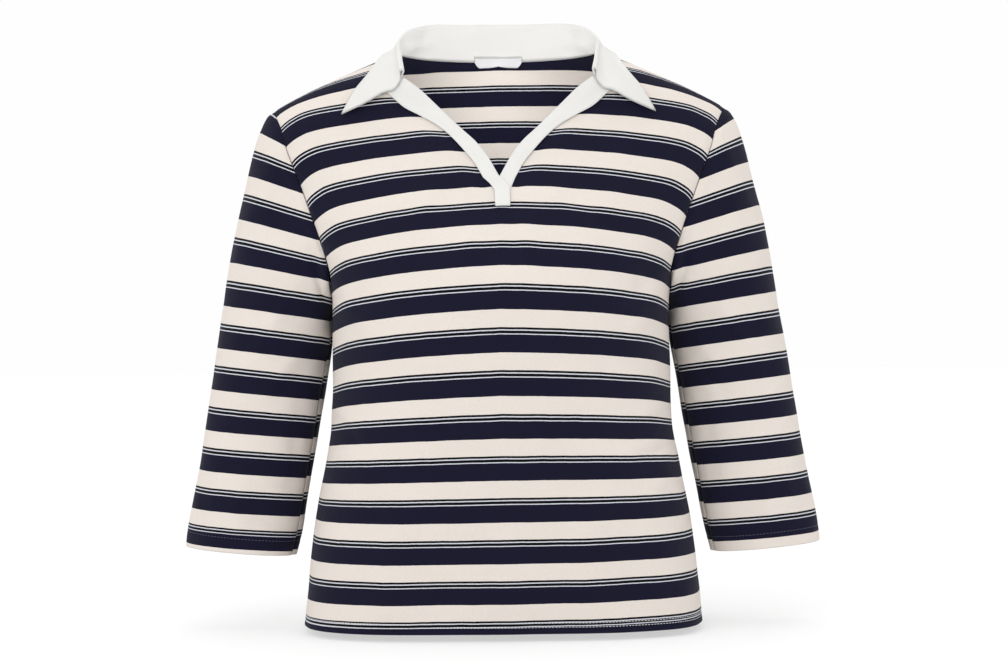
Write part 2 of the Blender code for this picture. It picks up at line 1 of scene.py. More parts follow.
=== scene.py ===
"""A striped rugby-style jersey top with a white woven collar, filled out with no wearer.

Metres, +Z up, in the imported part's frame: the front faces -Y, +X is the wearer's left and
the origin lies midway between the shoulders. Each piece of cloth is a thin shell on the
form of its solid, with its creases, seams and stitching. The tables of sizes and creases
are written in millimetres.
"""
import math

import bpy
import numpy as np
from mathutils import Matrix, Vector


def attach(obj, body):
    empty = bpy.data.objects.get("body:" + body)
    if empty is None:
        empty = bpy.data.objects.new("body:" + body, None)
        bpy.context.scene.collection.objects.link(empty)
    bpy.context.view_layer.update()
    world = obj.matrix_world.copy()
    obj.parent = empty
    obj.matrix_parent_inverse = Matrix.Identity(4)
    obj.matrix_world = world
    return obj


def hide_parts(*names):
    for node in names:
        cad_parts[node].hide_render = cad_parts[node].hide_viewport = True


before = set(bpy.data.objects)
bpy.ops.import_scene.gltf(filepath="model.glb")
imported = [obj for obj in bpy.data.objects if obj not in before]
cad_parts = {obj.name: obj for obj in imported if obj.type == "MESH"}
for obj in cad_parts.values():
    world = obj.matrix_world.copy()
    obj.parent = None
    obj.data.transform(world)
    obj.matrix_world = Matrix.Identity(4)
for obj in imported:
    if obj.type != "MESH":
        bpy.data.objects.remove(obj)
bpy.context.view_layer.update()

# Cloth
JERSEY = 0.0015
KNIT = 0.0012
WOVEN = 0.0016
SEAM_GAP = 0.0003
COLLAR_GAP = 0.0005
HEM_WALL = 0.0024

# Heights of the body
HEM = -0.562
UNDERARM = -0.245
V_BOTTOM = -0.137

# Shoulders
SHOULDER_TOP = 0.045
SHOULDER_SLOPE = 0.42
SHOULDER_DROOP = 1.2
DROOP_START = 0.16
SHOULDER_BREADTH = 0.2245
SHOULDER_ROUND = 0.045
NECK_SIDE = 0.1
NECK_BACK = 0.002
NECK_RISE = 0.001

# Mesh counts and steps
BODY_ROWS = 92
ARM_ROWS = 72
V_ROW = 19
NECK_ROWS = 14
BODY_COLUMNS = 60
NECK_COLUMNS = 30
SLEEVE_ROWS = 120
BAND_ROWS = 60
BAND_COLUMNS = 8
LABEL_COLUMNS = 40
DENSE = 481
LEVEL_SPACING = 0.9
SLOPE_STEP = 0.001
FAR = 1.0

# Seams and stitching. A ridge beside a line: its height, its way from the line and its
# width. One of less than no height is a groove.
SEAM_DIP = (-0.0009, 0, 0.003)
HEM_STITCHES = (0.0056, 0.0096)
HEM_ROWS = (0.0, 0.0013, 0.003, 0.0046, 0.0056, 0.0066, 0.0086, 0.0096, 0.0106, 0.0122, 0.014)
HEM_ALLOWANCE = 0.0125
CUFF_STITCH = 0.015
CUFF_ROWS = (0.0, 0.0013, 0.0035, 0.0065, 0.01, 0.0135, 0.015, 0.0165, 0.018, 0.02)
CUFF_ALLOWANCE = 0.017
GROOVE_DEPTH = 0.00035
GROOVE_WIDTH = 0.0011
RIM_ROUND = 0.42
# Each kind of stitch: its spacing, length and radius
HEM_THREAD = (0.0032, 0.0023, 0.00032)
BAND_THREAD = (0.003, 0.0022, 0.00022)
CUFF_THREAD = (0.0034, 0.0024, 0.0003)
THREAD_END = (0.98, 0.12)
THREAD_SIDES = 6
THREAD_RINGS = 5

# Colours
CREAM = (0.75, 0.688, 0.632, 1.0)
NAVY = (0.0068, 0.0066, 0.0215, 1.0)
BLACK = (0.003, 0.003, 0.005, 1.0)
PALE = (0.64, 0.65, 0.71, 1.0)
WHITE = (0.718, 0.711, 0.688, 1.0)
TAPE = (0.69, 0.685, 0.702, 1.0)
WHITE_THREAD = (0.82, 0.82, 0.83, 1.0)
GREY_THREAD = (0.09, 0.09, 0.12, 1.0)
FLOOR_GREY = (0.475, 0.475, 0.475, 1.0)
LIGHT = (1.0, 1.0, 1.0, 1.0)

# Weaves: the knit's columns and rows of loops, and the pitches of twill and tape
WALE = 0.00105
COURSE = 0.0008
COURSE_SLANT = -1.1
LOOP_SHARE = 0.65
TWILL_PITCH = 0.00052
TAPE_PITCH = 0.0003
TWILL_SLANT = 1.6

# Studio. Each lamp: its place, what it is aimed at, its size and its power
FLOOR_HEIGHT = -0.57
FLOOR_RADIUS = 14.0
FLOOR_GLOW = 0.52
SKY_STRENGTH = 0.99
LAMPS = {
    "key": ((-0.9, -2.2, 1.1), (0.0, 0.0, -0.25), 1.6, 14.0),
    "top": ((0.3, -0.3, 2.2), (0.0, 0.0, -0.25), 1.8, 8.0),
    "neck_fill": ((0.0, -0.038, -0.110), (0.0, 0.080, -0.004), 0.05, 0.145),
}
CAMERA_PLACE = (0.003, -1.9, -0.281)
CAMERA_ROLL = -0.6
CAMERA_LENS = 67.857
SENSOR = 36.0

# The wearer's sides, by the sign of x
SIDES = {"left": 1, "right": -1}
# The tables' columns that aren't lengths
PLAIN_COLUMNS = "run rise turn place share count degrees squareness outer_reach inner_reach".split()


def hermite(t, start, start_slope, end, end_slope):
    """Between two ends that are left and reached along the given slopes."""
    return (start * (1 + 2 * t) * (1 - t) ** 2 + start_slope * t * (1 - t) ** 2
            + end * t * t * (3 - 2 * t) + end_slope * t * t * (t - 1))


class Table:
    """Rows of named columns, read between its rows by a curve that never overshoots.
    Lengths are written in millimetres and read in metres."""

    def __init__(self, names, rows):
        self.names = names.split()
        self.rows = np.array(rows) / [1 if name in PLAIN_COLUMNS else 1000 for name in self.names]

    def at(self, name, key):
        """The named column where the first column holds key."""
        x = self.rows[:, 0]
        y = self.rows[:, self.names.index(name)]
        step = np.diff(x)
        rise = np.diff(y) / step
        slope = np.zeros(len(x))
        for k in range(1, len(x) - 1):
            if rise[k] * rise[k - 1] > 0:
                before = 2 * step[k] + step[k - 1]
                after = step[k] + 2 * step[k - 1]
                slope[k] = (before + after) / (before / rise[k - 1] + after / rise[k])
        slope[0] = rise[0]
        slope[-1] = rise[-1]
        key = np.clip(np.asarray(key, float), x[0], x[-1])
        i = np.clip(np.searchsorted(x, key, "right") - 1, 0, len(x) - 2)
        h = step[i]
        return hermite((key - x[i]) / h, y[i], slope[i] * h, y[i + 1], slope[i + 1] * h)


# The body's level sections. Squareness is the power of the rounded outline.
BODY = Table("height half_breadth front back squareness", [
    (-562, 196.5, 108, 110, 3.3),
    (-515, 192, 112, 108, 3.1),
    (-460, 185.5, 116, 106, 2.9),
    (-405, 175.5, 121, 105, 2.7),
    (-365, 169, 126, 106, 2.5),
    (-325, 167.4, 130, 108, 2.35),
    (-280, 167.4, 133, 112, 2.3),
    (-245, 167.6, 132, 115, 2.35),
    (-225, 170.8, 127, 116, 2.4),
    (-205, 178, 119, 117, 2.5),
    (-168, 196.5, 102, 116, 2.5),
    (-127, 215.5, 81, 111, 2.5),
    (-95, 231, 66, 103, 2.5),
    (-54, 243, 50, 89, 2.5),
    (0, 250, 45, 68, 2.5),
    (45, 250, 44, 62, 2.5),
])

# The armhole seam from the underarm (rise 0) to the shoulder tip (rise 1).
ARMHOLE = Table("rise breadth", [
    (0, 167.6), (0.12, 167), (0.21, 170), (0.31, 175.7), (0.4, 181.5), (0.53, 190.3),
    (0.62, 196.7), (0.71, 203.5), (0.78, 208.4), (0.89, 214.5), (1, 1000 * SHOULDER_BREADTH),
])

# Each V band from the collar (run 0) to the bottom of the V (run 1), on the wearer's left.
# Its outer corner goes on under the collar.
BAND = Table("run inner_x inner_z outer_x outer_z", [
    (-0.06, 99.5, -23.4, 111.3, -39.7),
    (0, 93.8, -27.5, 106, -44.5),
    (0.17, 77.7, -39.2, 91, -58),
    (0.3, 66, -50.5, 77.7, -65.5),
    (0.5, 47, -70, 58, -77.5),
    (0.63, 34.5, -82.5, 46.2, -88),
    (0.75, 22, -94.5, 34.5, -101),
    (0.87, 11, -109.5, 23.2, -115.5),
    (1, 0.8, -128, 15, -130),
])

# The stub below the V, sewn through both bands.
STUB = Table("run left_x left_z right_x right_z", [
    (0, -0.8, -128, -15, -130),
    (0.3, 7.2, -135.5, -8.2, -136.6),
    (0.5, 9.8, -141.5, -4.4, -143),
    (1, 10, -158, -3.7, -158),
])
BAND_ON_PANEL = 0.75
BAND_LIFT = 0.0007
BAND_COVER = 0.012
BAND_WALL = 0.0009
UNDER_SINK = 0.0011
UNDER_SINK_START = 0.8
UNDER_SINK_REACH = 0.14
BAND_START = 0.02
BAND_UNDER = 0.055
BAND_UNDER_REACH = 0.15
STUB_ROWS = 12
UNDER_END = (-0.003, -0.134, 0.0096, -0.143)
UNDER_ROWS = 4
BAND_CROWN = 0.00022
BAND_GROOVE = (-0.0002, 0.0018, 0.0009)
BAND_WAVES = 0.5
BAND_WAVE_SCALE = 1.7
BAND_CREASE_START = 0.003

# The bare label inside the neck
LABEL_BREADTH = 0.05
LABEL_HEIGHT = 0.01
LABEL_TOP = -0.005
LABEL_LOBE = 0.0016
LABEL_LOBE_POWER = 0.8
LABEL_LOBES_END = 0.5
LABEL_CORNER = 0.0062
LABEL_CORNER_START = 0.76
LABEL_CORNER_POWER = 1.6
LABEL_CURL = 0.0008
LABEL_STANDS = 0.0002
LABEL_WALL = 0.0007
LABEL_GAP = 0.0008
LABEL_ROWS = 8

# The sleeve's outer and inner lines by height, and its sections from the armhole (run 0)
# to the cuff (run 1). A reach is the share of the line's height that a section has passed.
SLEEVE_OUTER = Table("height breadth", [
    (-487, 317), (-476, 316), (-426, 307), (-366.5, 297), (-306.5, 288.5), (-246.5, 278.5),
    (-186, 268.5), (-125, 253.5), (-95, 245.5), (-66, 235), (-54, 1000 * SHOULDER_BREADTH),
])
SLEEVE_INNER = Table("height breadth", [
    (-497, 207.5), (-466, 200), (-430, 194), (-390, 186.8), (-345, 179.5), (-320, 175.5),
    (-300, 172), (-285, 170), (-265, 169.2), (-245, 168.2),
])
SLEEVE = Table("run outer_reach inner_reach middle_y front back", [
    (0, 0, 0, 0, 55, 58),
    (0.08, 0.095, 0.03, 3, 54, 57),
    (0.2, 0.24, 0.09, 9, 54, 54),
    (0.35, 0.41, 0.2, 16, 51, 51),
    (0.5, 0.56, 0.35, 17, 48, 48),
    (0.75, 0.79, 0.66, 10, 43, 43),
    (1, 1, 1, 4, 39, 39),
])
SLEEVE_SQUARENESS = 2.15
SLEEVE_SETTLES = 0.3
SLEEVE_SPACING = 1.25
SLEEVE_LENGTH = 0.44
SLEEVE_TWIST = 0.3
SLEEVE_TWIST_END = 0.6
SLEEVE_WAVE_SHIFT = 0.3
SLEEVE_CREASE_START = 0.03
SLEEVE_PUFF = (0.0009, 0.0075, 0.0045)
SLEEVE_FACING = 1.6
COUNT_STEPS = 40
COUNT_SHARE = 0.4

# The collar on the wearer's left, from the back (turn 0) past the neck's side to the front
# end (turn 1). The roll line is given by its way from the neck seam, and the outer edge lies
# on the body, in breadth and in girth from the shoulder line, which is negative in front.
COLLAR = Table("turn roll_dx roll_dy roll_dz edge_x edge_girth", [
    (0, 0, -7.5, 38, 0, 86.7),
    (0.12, 0.3, -6.8, 37.8, 30, 74.6),
    (0.24, 0.8, -4.5, 37.5, 58, 62.7),
    (0.36, 1.3, -3, 35, 82.5, 50.8),
    (0.48, 2, -4.5, 28.5, 96.5, 38.6),
    (0.6, 1.4, -4, 18, 104.8, 22.5),
    (0.72, -0.3, -4, 10.5, 109.8, -4),
    (0.81, -1, -3.6, 8.2, 124, -36.5),
    (0.91, -1.8, -4.5, 7.6, 140, -52.8),
    (1, -4, -6, 7.8, 152.8, -71.4),
])
NECK_SIDE_TURN = 0.72
COLLAR_END = 0.985
COLLAR_LIFT = 0.003
COLLAR_LINES = 88
# The collar's front edge from the roll line to the point, in breadth and height.
LEADING = Table("run breadth height lift", [
    (0, 92.6, -27.1, 5.8),
    (0.07, 94.7, -32.5, 5.1),
    (0.16, 98.2, -38.6, 4.5),
    (0.24, 102.6, -42.8, 4.2),
    (0.34, 109.2, -44.1, 4.5),
    (0.55, 123.3, -51.5, 5.6),
    (0.78, 137.8, -59, 5.5),
    (1, 153.1, -64.5, 3),
])
LEADING_START = 0.6
LEADING_POWER = 3
STAND_SHARES = np.linspace(0.0, 0.88, 9)
ROLL_RADIUS = 0.0028
END_RADIUS = 0.0023
PRESSED_START = 0.8
ROLL_ANGLES = np.linspace(175, 10, 12)
FALL_SHARES = np.linspace(0.07, 1.0, 20)
TURN_STEP = 0.03
# How strongly the stand and the fall of the collar leave and reach their ends
STAND_ARRIVES = 0.6
FALL_LEAVES = 0.4
FALL_ARRIVES = 0.9
# The pressed seam inside the collar's edge and the swell between them
COLLAR_SEAM = (-0.00035, 0.0045, 0.0012)
COLLAR_SWELL = (0.00025, 0.00225, 0.0018)
COLLAR_END_SHARE = 0.45
COLLAR_WAVES = 1.2
COLLAR_WAVE_SCALE = 1.3
COLLAR_WAVE_START = 0.01
COLLAR_EDGE_FLAT = 0.006
STAND_FADE = 5
LEAF_FADE = 9

# Stripes. A whole count is the top of a group: a thin dark line, a thin pale one, a dark
# one, a pale one, the wide navy stripe and the wide cream one, as shares of a repeat.
SHARES = (
    (0.0, BLACK), (0.048, PALE), (0.0745, BLACK), (0.143, PALE), (0.167, NAVY), (0.586, CREAM),
)
FRONT_COUNT = Table("height count", [
    (-562, -0.325), (-549.6, 0), (-511.5, 1), (-472.6, 2), (-432.9, 3), (-393.2, 4), (-353.7, 5),
    (-312.6, 6), (-272.6, 7), (-231.6, 8), (-190.7, 9), (-152.7, 10), (-115, 11), (-77, 12),
    (-40.5, 13), (28.7, 14.92),
])
BACK_COUNT = Table("height count", [
    (-562, -0.325), (-549.6, 0), (-272.6, 7), (-93.3, 12), (-55.8, 13), (-20.1, 14), (28.7, 15.4),
])
# How far the stripes have sunk at the panel's edge, by height, and the share of that by the
# point's place from the middle (0) to the edge (1).
DROOP = Table("height drop", [
    (-550, 0), (-470, 0.2), (-433, 4), (-393, 8), (-354, 13), (-313, 17), (-273, 19.5), (-232, 22),
    (-190, 27.5), (-153, 30), (-115, 29), (-77, 28), (30, 26),
])
DROOP_SHAPE = Table("place share", [
    (0, 0), (0.2, 0.06), (0.38, 0.14), (0.55, 0.245), (0.7, 0.385), (0.8, 0.49), (0.87, 0.6),
    (0.94, 0.8), (1, 1.05),
])
STRIPE_TILT = 0.008
# The back's stripes lie more level near the neck.
NECK_LEVEL = 0.6
NECK_LEVEL_LOW = -0.14
NECK_LEVEL_REACH = 0.06
# Beside the neck seam the back is navy up to the seam, and this far out the stripes go on.
NECK_TOP_COUNT = 14.8
NECK_TOP_RISE = 2
NECK_TOP_REACH = 0.03
V_PUCKER = 0.0024
V_PUCKER_PLACE = 0.01
V_PUCKER_WIDTH = 0.009
# The count by the height of a stripe on the sleeve's outer line, on the wearer's right and
# left, and the stripe's fall towards the body.
SLEEVE_COUNT = {
    -1: Table("height count", [
        (-496.5, -1), (-463.5, 0), (-387.5, 2), (-265, 5), (-178.8, 7), (-93, 9), (-50.5, 10),
    ]),
    1: Table("height count", [
        (-492.8, -1), (-455.6, 0), (-378.4, 2), (-256.2, 5), (-170.2, 7), (-84, 9), (-41.2, 10),
    ]),
}
SLEEVE_FALL = Table("height degrees", [
    (-487, 4.5), (-430, 4.3), (-389, 4.5), (-349, 5.3), (-308, 6.4), (-266.7, 7.7), (-225.4, 9.5),
    (-182.7, 14), (-139.6, 18.1), (-95.5, 23.2), (-77.3, 29), (-54, 40),
])
SEAM_JOG = 0.045
JOG_REACH = 0.025

# Creases in millimetres: the breadth and height of each end, how far the crease lifts the
# cloth, and its width. One that lifts it by less than nothing is a trough.
FOLDS = {
    "front": (
        (-166, -345, -118, -377, 1.7, 6.5), (-165, -358, -130, -386, -1.2, 5),
        (-168, -388, -122, -404, 1.3, 5.5), (-170, -418, -128, -443, 1.4, 7),
        (165, -340, 124, -367, 1.5, 6), (166, -372, 112, -396, 1.8, 7),
        (167, -384, 126, -408, -1.2, 5), (171, -412, 130, -438, 1.2, 6.5),
        (-160, -222, -104, -300, 2.1, 12), (158, -218, 108, -305, 2.3, 13),
        (-150, -205, -128, -270, -1.6, 9), (152, -200, 126, -262, -1.5, 9),
        (-118, -560, -92, -430, 2.4, 17), (-60, -562, -52, -460, -1.8, 19),
        (12, -562, 2, -480, 1.4, 20), (78, -562, 86, -425, 2.6, 18),
        (128, -562, 122, -470, -1.6, 15), (-55, -120, -88, -190, 1.1, 10),
        (40, -118, 82, -196, 1.2, 11), (-24, -165, -36, -240, 0.9, 11),
        (22, -163, 30, -228, 1, 10),
    ),
    "back": (
        (-162, -335, -96, -372, 2, 8), (-165, -352, -110, -392, -1.4, 6),
        (-166, -392, -105, -420, 1.8, 8), (163, -342, 88, -366, 1.9, 7.5),
        (166, -378, 104, -412, 2.1, 9), (165, -366, 120, -392, -1.3, 5.5),
        (-88, -360, -20, -352, 1.2, 9), (12, -372, 80, -384, 1.2, 9),
        (-132, -560, -88, -405, 3, 19), (-68, -562, -50, -440, -2.2, 18),
        (-4, -562, -12, -420, 2.4, 22), (56, -562, 40, -450, -1.8, 19),
        (112, -562, 90, -415, 2.8, 19), (-176, -150, -120, -245, 2.4, 13),
        (178, -146, 124, -238, 2.2, 12), (-150, -190, -118, -262, -1.4, 9),
        (148, -196, 112, -272, -1.5, 10), (-50, -105, -90, -190, 1, 14),
        (55, -108, 86, -182, 1.1, 13),
    ),
    "stand": (
        (94, 6, 76, 22, 3.1, 4.2), (90, 16, 66, 28, -3, 4.6), (86, 4, 60, 12, -1.6, 4.2),
        (50, 10, 44, 34, 0.7, 6), (20, 6, 24, 34, -0.5, 7),
    ),
    "leaf": (
        (104, 4, 112, -22, 0.7, 4.5), (100, -12, 106, -36, -0.8, 4.5),
        (110, -14, 134, -52, 0.6, 6),
    ),
    "band": (
        (96, -34, 74, -56, 1.2, 2.8), (84, -40, 66, -62, -0.7, 2.8), (60, -62, 46, -82, 0.9, 2.6),
        (42, -76, 28, -98, -0.7, 2.6), (30, -90, 14, -118, 1, 2.6),
    ),
    "sleeve_front": (
        (187, -182, 168, -264, -3.4, 4.2), (198, -330, 212, -450, -1.4, 6.5),
        (205, -240, 246, -300, 1.7, 8), (184, -275, 232, -335, 1.6, 7),
        (190, -310, 228, -345, -1, 5), (285, -330, 245, -352, 1.3, 7),
        (290, -352, 252, -378, -0.9, 6), (222, -100, 236, -200, 1.3, 9),
        (255, -400, 262, -485, 1.4, 11), (292, -405, 300, -487, -1, 8),
    ),
    "sleeve_back": (
        (200, -220, 252, -272, 2.1, 8.5), (190, -262, 236, -318, 1.8, 8),
        (192, -285, 226, -330, -1.3, 5.5), (282, -300, 232, -330, 1.8, 7.5),
        (286, -322, 240, -352, -1.4, 6.5), (290, -348, 232, -380, 1.5, 8),
        (228, -110, 246, -205, 1.4, 10), (236, -400, 240, -485, 1.5, 11),
        (276, -410, 286, -485, -1.2, 10),
    ),
}
FOLD_FADE = 0.45
FOLD_END = 0.15
# Soft unevenness of the cloth: length of a wave along x, y and z, and its height.
WAVES = (
    (0.110, 0.090, 0.160, 0.00045),
    (0.061, 0.073, 0.087, 0.00030),
    (0.034, 0.041, 0.049, 0.00014),
)
WAVE_SHIFTS = (1.7, 0.9)
# How far from a seam the creases and the waves begin
CREASE_START = 0.012
WAVE_START = 0.02


def unit(v):
    return v / np.maximum(np.linalg.norm(v, axis=-1, keepdims=True), 1e-9)


def smooth(t):
    """A smooth step from 0 to 1."""
    t = np.clip(t, 0, 1)
    return t * t * (3 - 2 * t)


def bell(distance, width):
    return np.exp(-(distance / width) ** 2)


def ridge(distance, form):
    """The lift of a ridge at a distance from its line."""
    height, way, width = form
    return height * bell(distance - way, width)


def shoulder_line(x):
    """Height of the shoulder seam's line at breadth x."""
    x = np.abs(x)
    droop = SHOULDER_DROOP * np.maximum(x - DROOP_START, 0) ** 2
    return SHOULDER_TOP - SHOULDER_SLOPE * x - droop


def girth_height(x, girth):
    """Height of the point that lies a girth below the shoulder line, measured on the cloth."""
    turn = np.minimum(np.abs(girth) / SHOULDER_ROUND, math.pi / 2)
    below = np.maximum(np.abs(girth) - SHOULDER_ROUND * math.pi / 2, 0)
    return shoulder_line(x) - SHOULDER_ROUND * (1 - np.cos(turn)) - below


def height_girth(x, z):
    """The inverse of girth_height, without its sign."""
    drop = np.maximum(shoulder_line(x) - z, 0)
    turn = np.arccos(np.clip(1 - drop / SHOULDER_ROUND, 0, 1))
    return SHOULDER_ROUND * turn + np.maximum(drop - SHOULDER_ROUND, 0)


def slope_of(line, at):
    """The slope of a line's height."""
    return (line(at + SLOPE_STEP) - line(at - SLOPE_STEP)) / (2 * SLOPE_STEP)


def cloth(x, girth, side):
    """Points and outward normals of the body's cloth. side is -1 in front and 1 behind."""
    x = np.asarray(x, float)
    girth = np.abs(np.asarray(girth, float))
    z = girth_height(x, girth)
    depth_name = "front" if side < 0 else "back"
    half = BODY.at("half_breadth", z)
    depth = BODY.at(depth_name, z)
    power = BODY.at("squareness", z)
    half_slope = slope_of(lambda height: BODY.at("half_breadth", height), z)
    depth_slope = slope_of(lambda height: BODY.at(depth_name, height), z)
    beside = np.minimum(np.abs(x) / half, 1) ** power
    ahead = 1 - beside
    share = ahead ** (1 / power)
    turn = np.minimum(girth / SHOULDER_ROUND, math.pi / 2)
    y = side * (depth * share * np.sin(turn) + SEAM_GAP / 2)
    # The gradient of the section's formula, scaled so that it stays finite at every seam.
    over = np.cos(turn) / SHOULDER_ROUND
    flat = np.sin(turn) ** 2
    nx = (flat * np.sign(x) * (np.abs(x) / half) ** (power - 1) / half
          - ahead * over * slope_of(shoulder_line, x))
    ny = side * np.sin(turn) * share ** (power - 1) / depth
    nz = ahead * over - flat * (beside * half_slope / half + ahead * depth_slope / depth)
    return np.stack([x, y, z], -1), unit(np.stack([nx, ny, nz], -1))


def shares(count):
    """Even shares from 0 to 1."""
    return np.linspace(0, 1, count + 1)


def steps_along(points):
    """Distance along the last line of an array of points."""
    gone = np.cumsum(np.linalg.norm(np.diff(points, axis=-2), axis=-1), axis=-1)
    return np.concatenate([np.zeros_like(gone[..., :1]), gone], -1)


def steps_down(points):
    """Distance along the first line of a grid of points."""
    return np.swapaxes(steps_along(np.swapaxes(points, 0, 1)), 0, 1)


def even_steps(x, girth, side, count):
    """Breadths and girths at even steps of cloth along a line."""
    gone = steps_along(cloth(x, girth, side)[0])
    return [np.interp(shares(count), gone / gone[-1], row) for row in (x, girth)]


def armhole(side):
    """Breadth and girth of the armhole seam from underarm to tip, in even steps of cloth."""
    rise = (1 - np.cos(np.linspace(0, math.pi, DENSE))) / 2
    x = ARMHOLE.at("breadth", rise)
    tip = shoulder_line(SHOULDER_BREADTH)
    girth = height_girth(x, UNDERARM + (tip - UNDERARM) * rise)
    girth[-1] = 0
    return even_steps(x, girth, side, ARM_ROWS)


def band_line(run, across):
    """Breadth and height on a V band. across is 0 at its free edge and 1 at its outer edge."""
    x = BAND.at("inner_x", run) * (1 - across) + BAND.at("outer_x", run) * across
    z = BAND.at("inner_z", run) * (1 - across) + BAND.at("outer_z", run) * across
    return x, z


def v_edge():
    """Breadth and girth of the front's edge beside the V, in even steps from its bottom."""
    x, z = band_line(np.linspace(1, 0, DENSE), 1 - BAND_ON_PANEL)
    x = np.concatenate([[0], x])
    girth = height_girth(x, np.concatenate([[V_BOTTOM], z]))
    return [row[1:] for row in even_steps(x, girth, -1, ARM_ROWS - V_ROW - NECK_ROWS)]


def body_heights():
    """Heights of the level rows below the underarm, closer together at the hem."""
    low = HEM + np.array(HEM_ROWS)
    return np.concatenate([low[:-1], np.linspace(low[-1], UNDERARM, BODY_ROWS + 1)])


def level_row(z, side):
    """Evenly spaced points of a level row from the centre to the side seam."""
    half = BODY.at("half_breadth", z)
    x = half * np.sin(np.linspace(0, math.pi / 2, DENSE)) ** LEVEL_SPACING
    x[-1] = half
    x = even_steps(x, height_girth(x, z), side, BODY_COLUMNS)[0]
    return x, height_girth(x, z)


def patch(low, inner, outer, top):
    """Rows of cloth between four lines of breadths and girths: the lowest row, the inner
    edge, the armhole and the top row."""
    up = shares(len(inner[0]) - 1)[:, None]
    out = shares(len(low[0]) - 1)[None]
    sheets = []
    for k in (0, 1):
        between_rows = low[k][None] * (1 - up) + top[k][None] * up
        between_edges = inner[k][:, None] * (1 - out) + outer[k][:, None] * out
        corners = (low[k][0] * (1 - up) * (1 - out) + low[k][-1] * (1 - up) * out
                   + top[k][0] * up * (1 - out) + top[k][-1] * up * out)
        sheets.append(between_rows + between_edges - corners)
    return list(zip(*sheets))[1:]


def front_rows():
    """Breadths and girths of the front's rows from the hem to the shoulder seam."""
    rows = [level_row(z, -1) for z in body_heights()]
    edge_x, edge_girth = v_edge()
    up = np.linspace(1, 0, NECK_ROWS + 1)[1:]
    neck_x = NECK_SIDE + (edge_x[-1] - NECK_SIDE) * up
    rise = np.linspace(UNDERARM, V_BOTTOM, V_ROW + 1)
    inner_x = np.concatenate([np.zeros(V_ROW + 1), edge_x, neck_x])
    inner_girth = np.concatenate([height_girth(0, rise), edge_girth, edge_girth[-1] * up])
    top_x = np.linspace(NECK_SIDE, SHOULDER_BREADTH, BODY_COLUMNS + 1)
    top = (top_x, np.zeros(BODY_COLUMNS + 1))
    return np.array(rows + patch(rows[-1], (inner_x, inner_girth), armhole(-1), top))


def back_neck():
    """Breadth and girth of the back's neck edge from its middle to the neck's side."""
    x = NECK_SIDE * np.sin(np.linspace(0, math.pi / 2, NECK_COLUMNS + 1))
    girth = height_girth(x, NECK_BACK + NECK_RISE * (x / NECK_SIDE) ** 2)
    girth[-1] = 0
    return x, girth


def back_rows():
    """Breadths and girths of the back's rows from the hem to the shoulders and neckline."""
    rows = [level_row(z, 1) for z in body_heights()]
    inner_z = np.linspace(UNDERARM, NECK_BACK, ARM_ROWS + 1)
    inner = (np.zeros(ARM_ROWS + 1), height_girth(0, inner_z))
    neck_x, neck_girth = back_neck()
    beside = np.linspace(NECK_SIDE, SHOULDER_BREADTH, BODY_COLUMNS - NECK_COLUMNS + 1)[1:]
    top = (np.concatenate([neck_x, beside]), np.concatenate([neck_girth, np.zeros(len(beside))]))
    return np.array(rows + patch(rows[-1], inner, armhole(1), top))


def superellipse(turn, power):
    """Cosine and sine of a rounded outline with the given squareness."""
    return [np.sign(wave) * np.abs(wave) ** (2 / power) for wave in (np.cos(turn), np.sin(turn))]


def creases(points, name, mirror=1):
    """How far the named creases lift each point."""
    lift = np.zeros(points.shape[:-1])
    place = np.stack([points[..., 0] * mirror, points[..., 2]], -1)
    for x0, z0, x1, z1, height, width in np.array(FOLDS[name]) / 1000:
        start = np.array([x0, z0])
        way = np.array([x1, z1]) - start
        along = np.sum((place - start) * way, -1) / np.dot(way, way)
        near = start + np.clip(along, 0, 1)[..., None] * way
        distance = np.linalg.norm(place - near, axis=-1)
        fade = smooth(along / FOLD_FADE + FOLD_END) * smooth((1 - along) / FOLD_FADE + FOLD_END)
        lift += height * fade * bell(distance, width)
    return lift


def waves(points):
    """The cloth's soft unevenness."""
    lift = np.zeros(points.shape[:-1])
    level_shift, upright_shift = WAVE_SHIFTS
    for k, (along_x, along_y, along_z, height) in enumerate(WAVES):
        level = 2 * math.pi * (points[..., 0] / along_x + points[..., 1] / along_y)
        upright = 2 * math.pi * points[..., 2] / along_z
        lift += height * np.sin(level + level_shift * k) * np.cos(upright + upright_shift * k)
    return lift


def grooves(height, lines):
    """The depth of the stitched lines at the given heights above an edge."""
    return sum(ridge(height, (-GROOVE_DEPTH, line, GROOVE_WIDTH)) for line in lines)


def edge_breadth(z):
    """Breadth of the side seam or the armhole at height z."""
    tip = shoulder_line(SHOULDER_BREADTH)
    seam = ARMHOLE.at("breadth", (z - UNDERARM) / (tip - UNDERARM))
    return np.where(z < UNDERARM, BODY.at("half_breadth", z), seam)


def panel_count(x, girth, side, beside_v):
    """The stripe count on the front or back."""
    spread = shoulder_line(x) + SHOULDER_ROUND * (math.pi / 2 - 1) - np.abs(girth)
    place = np.abs(x) / edge_breadth(girth_height(x, girth))
    sunk = DROOP.at("drop", spread) * DROOP_SHAPE.at("share", place)
    if side < 0:
        sunk = sunk + V_PUCKER * bell(np.maximum(beside_v - V_PUCKER_PLACE, 0), V_PUCKER_WIDTH)
        return FRONT_COUNT.at("count", spread + sunk - STRIPE_TILT * x)
    sunk = sunk * (1 - NECK_LEVEL * smooth((spread - NECK_LEVEL_LOW) / NECK_LEVEL_REACH))
    count = BACK_COUNT.at("count", spread + sunk - STRIPE_TILT * x)
    beside_neck = smooth((np.abs(x) - NECK_SIDE) / NECK_TOP_REACH)
    return np.minimum(count, NECK_TOP_COUNT + NECK_TOP_RISE * beside_neck)


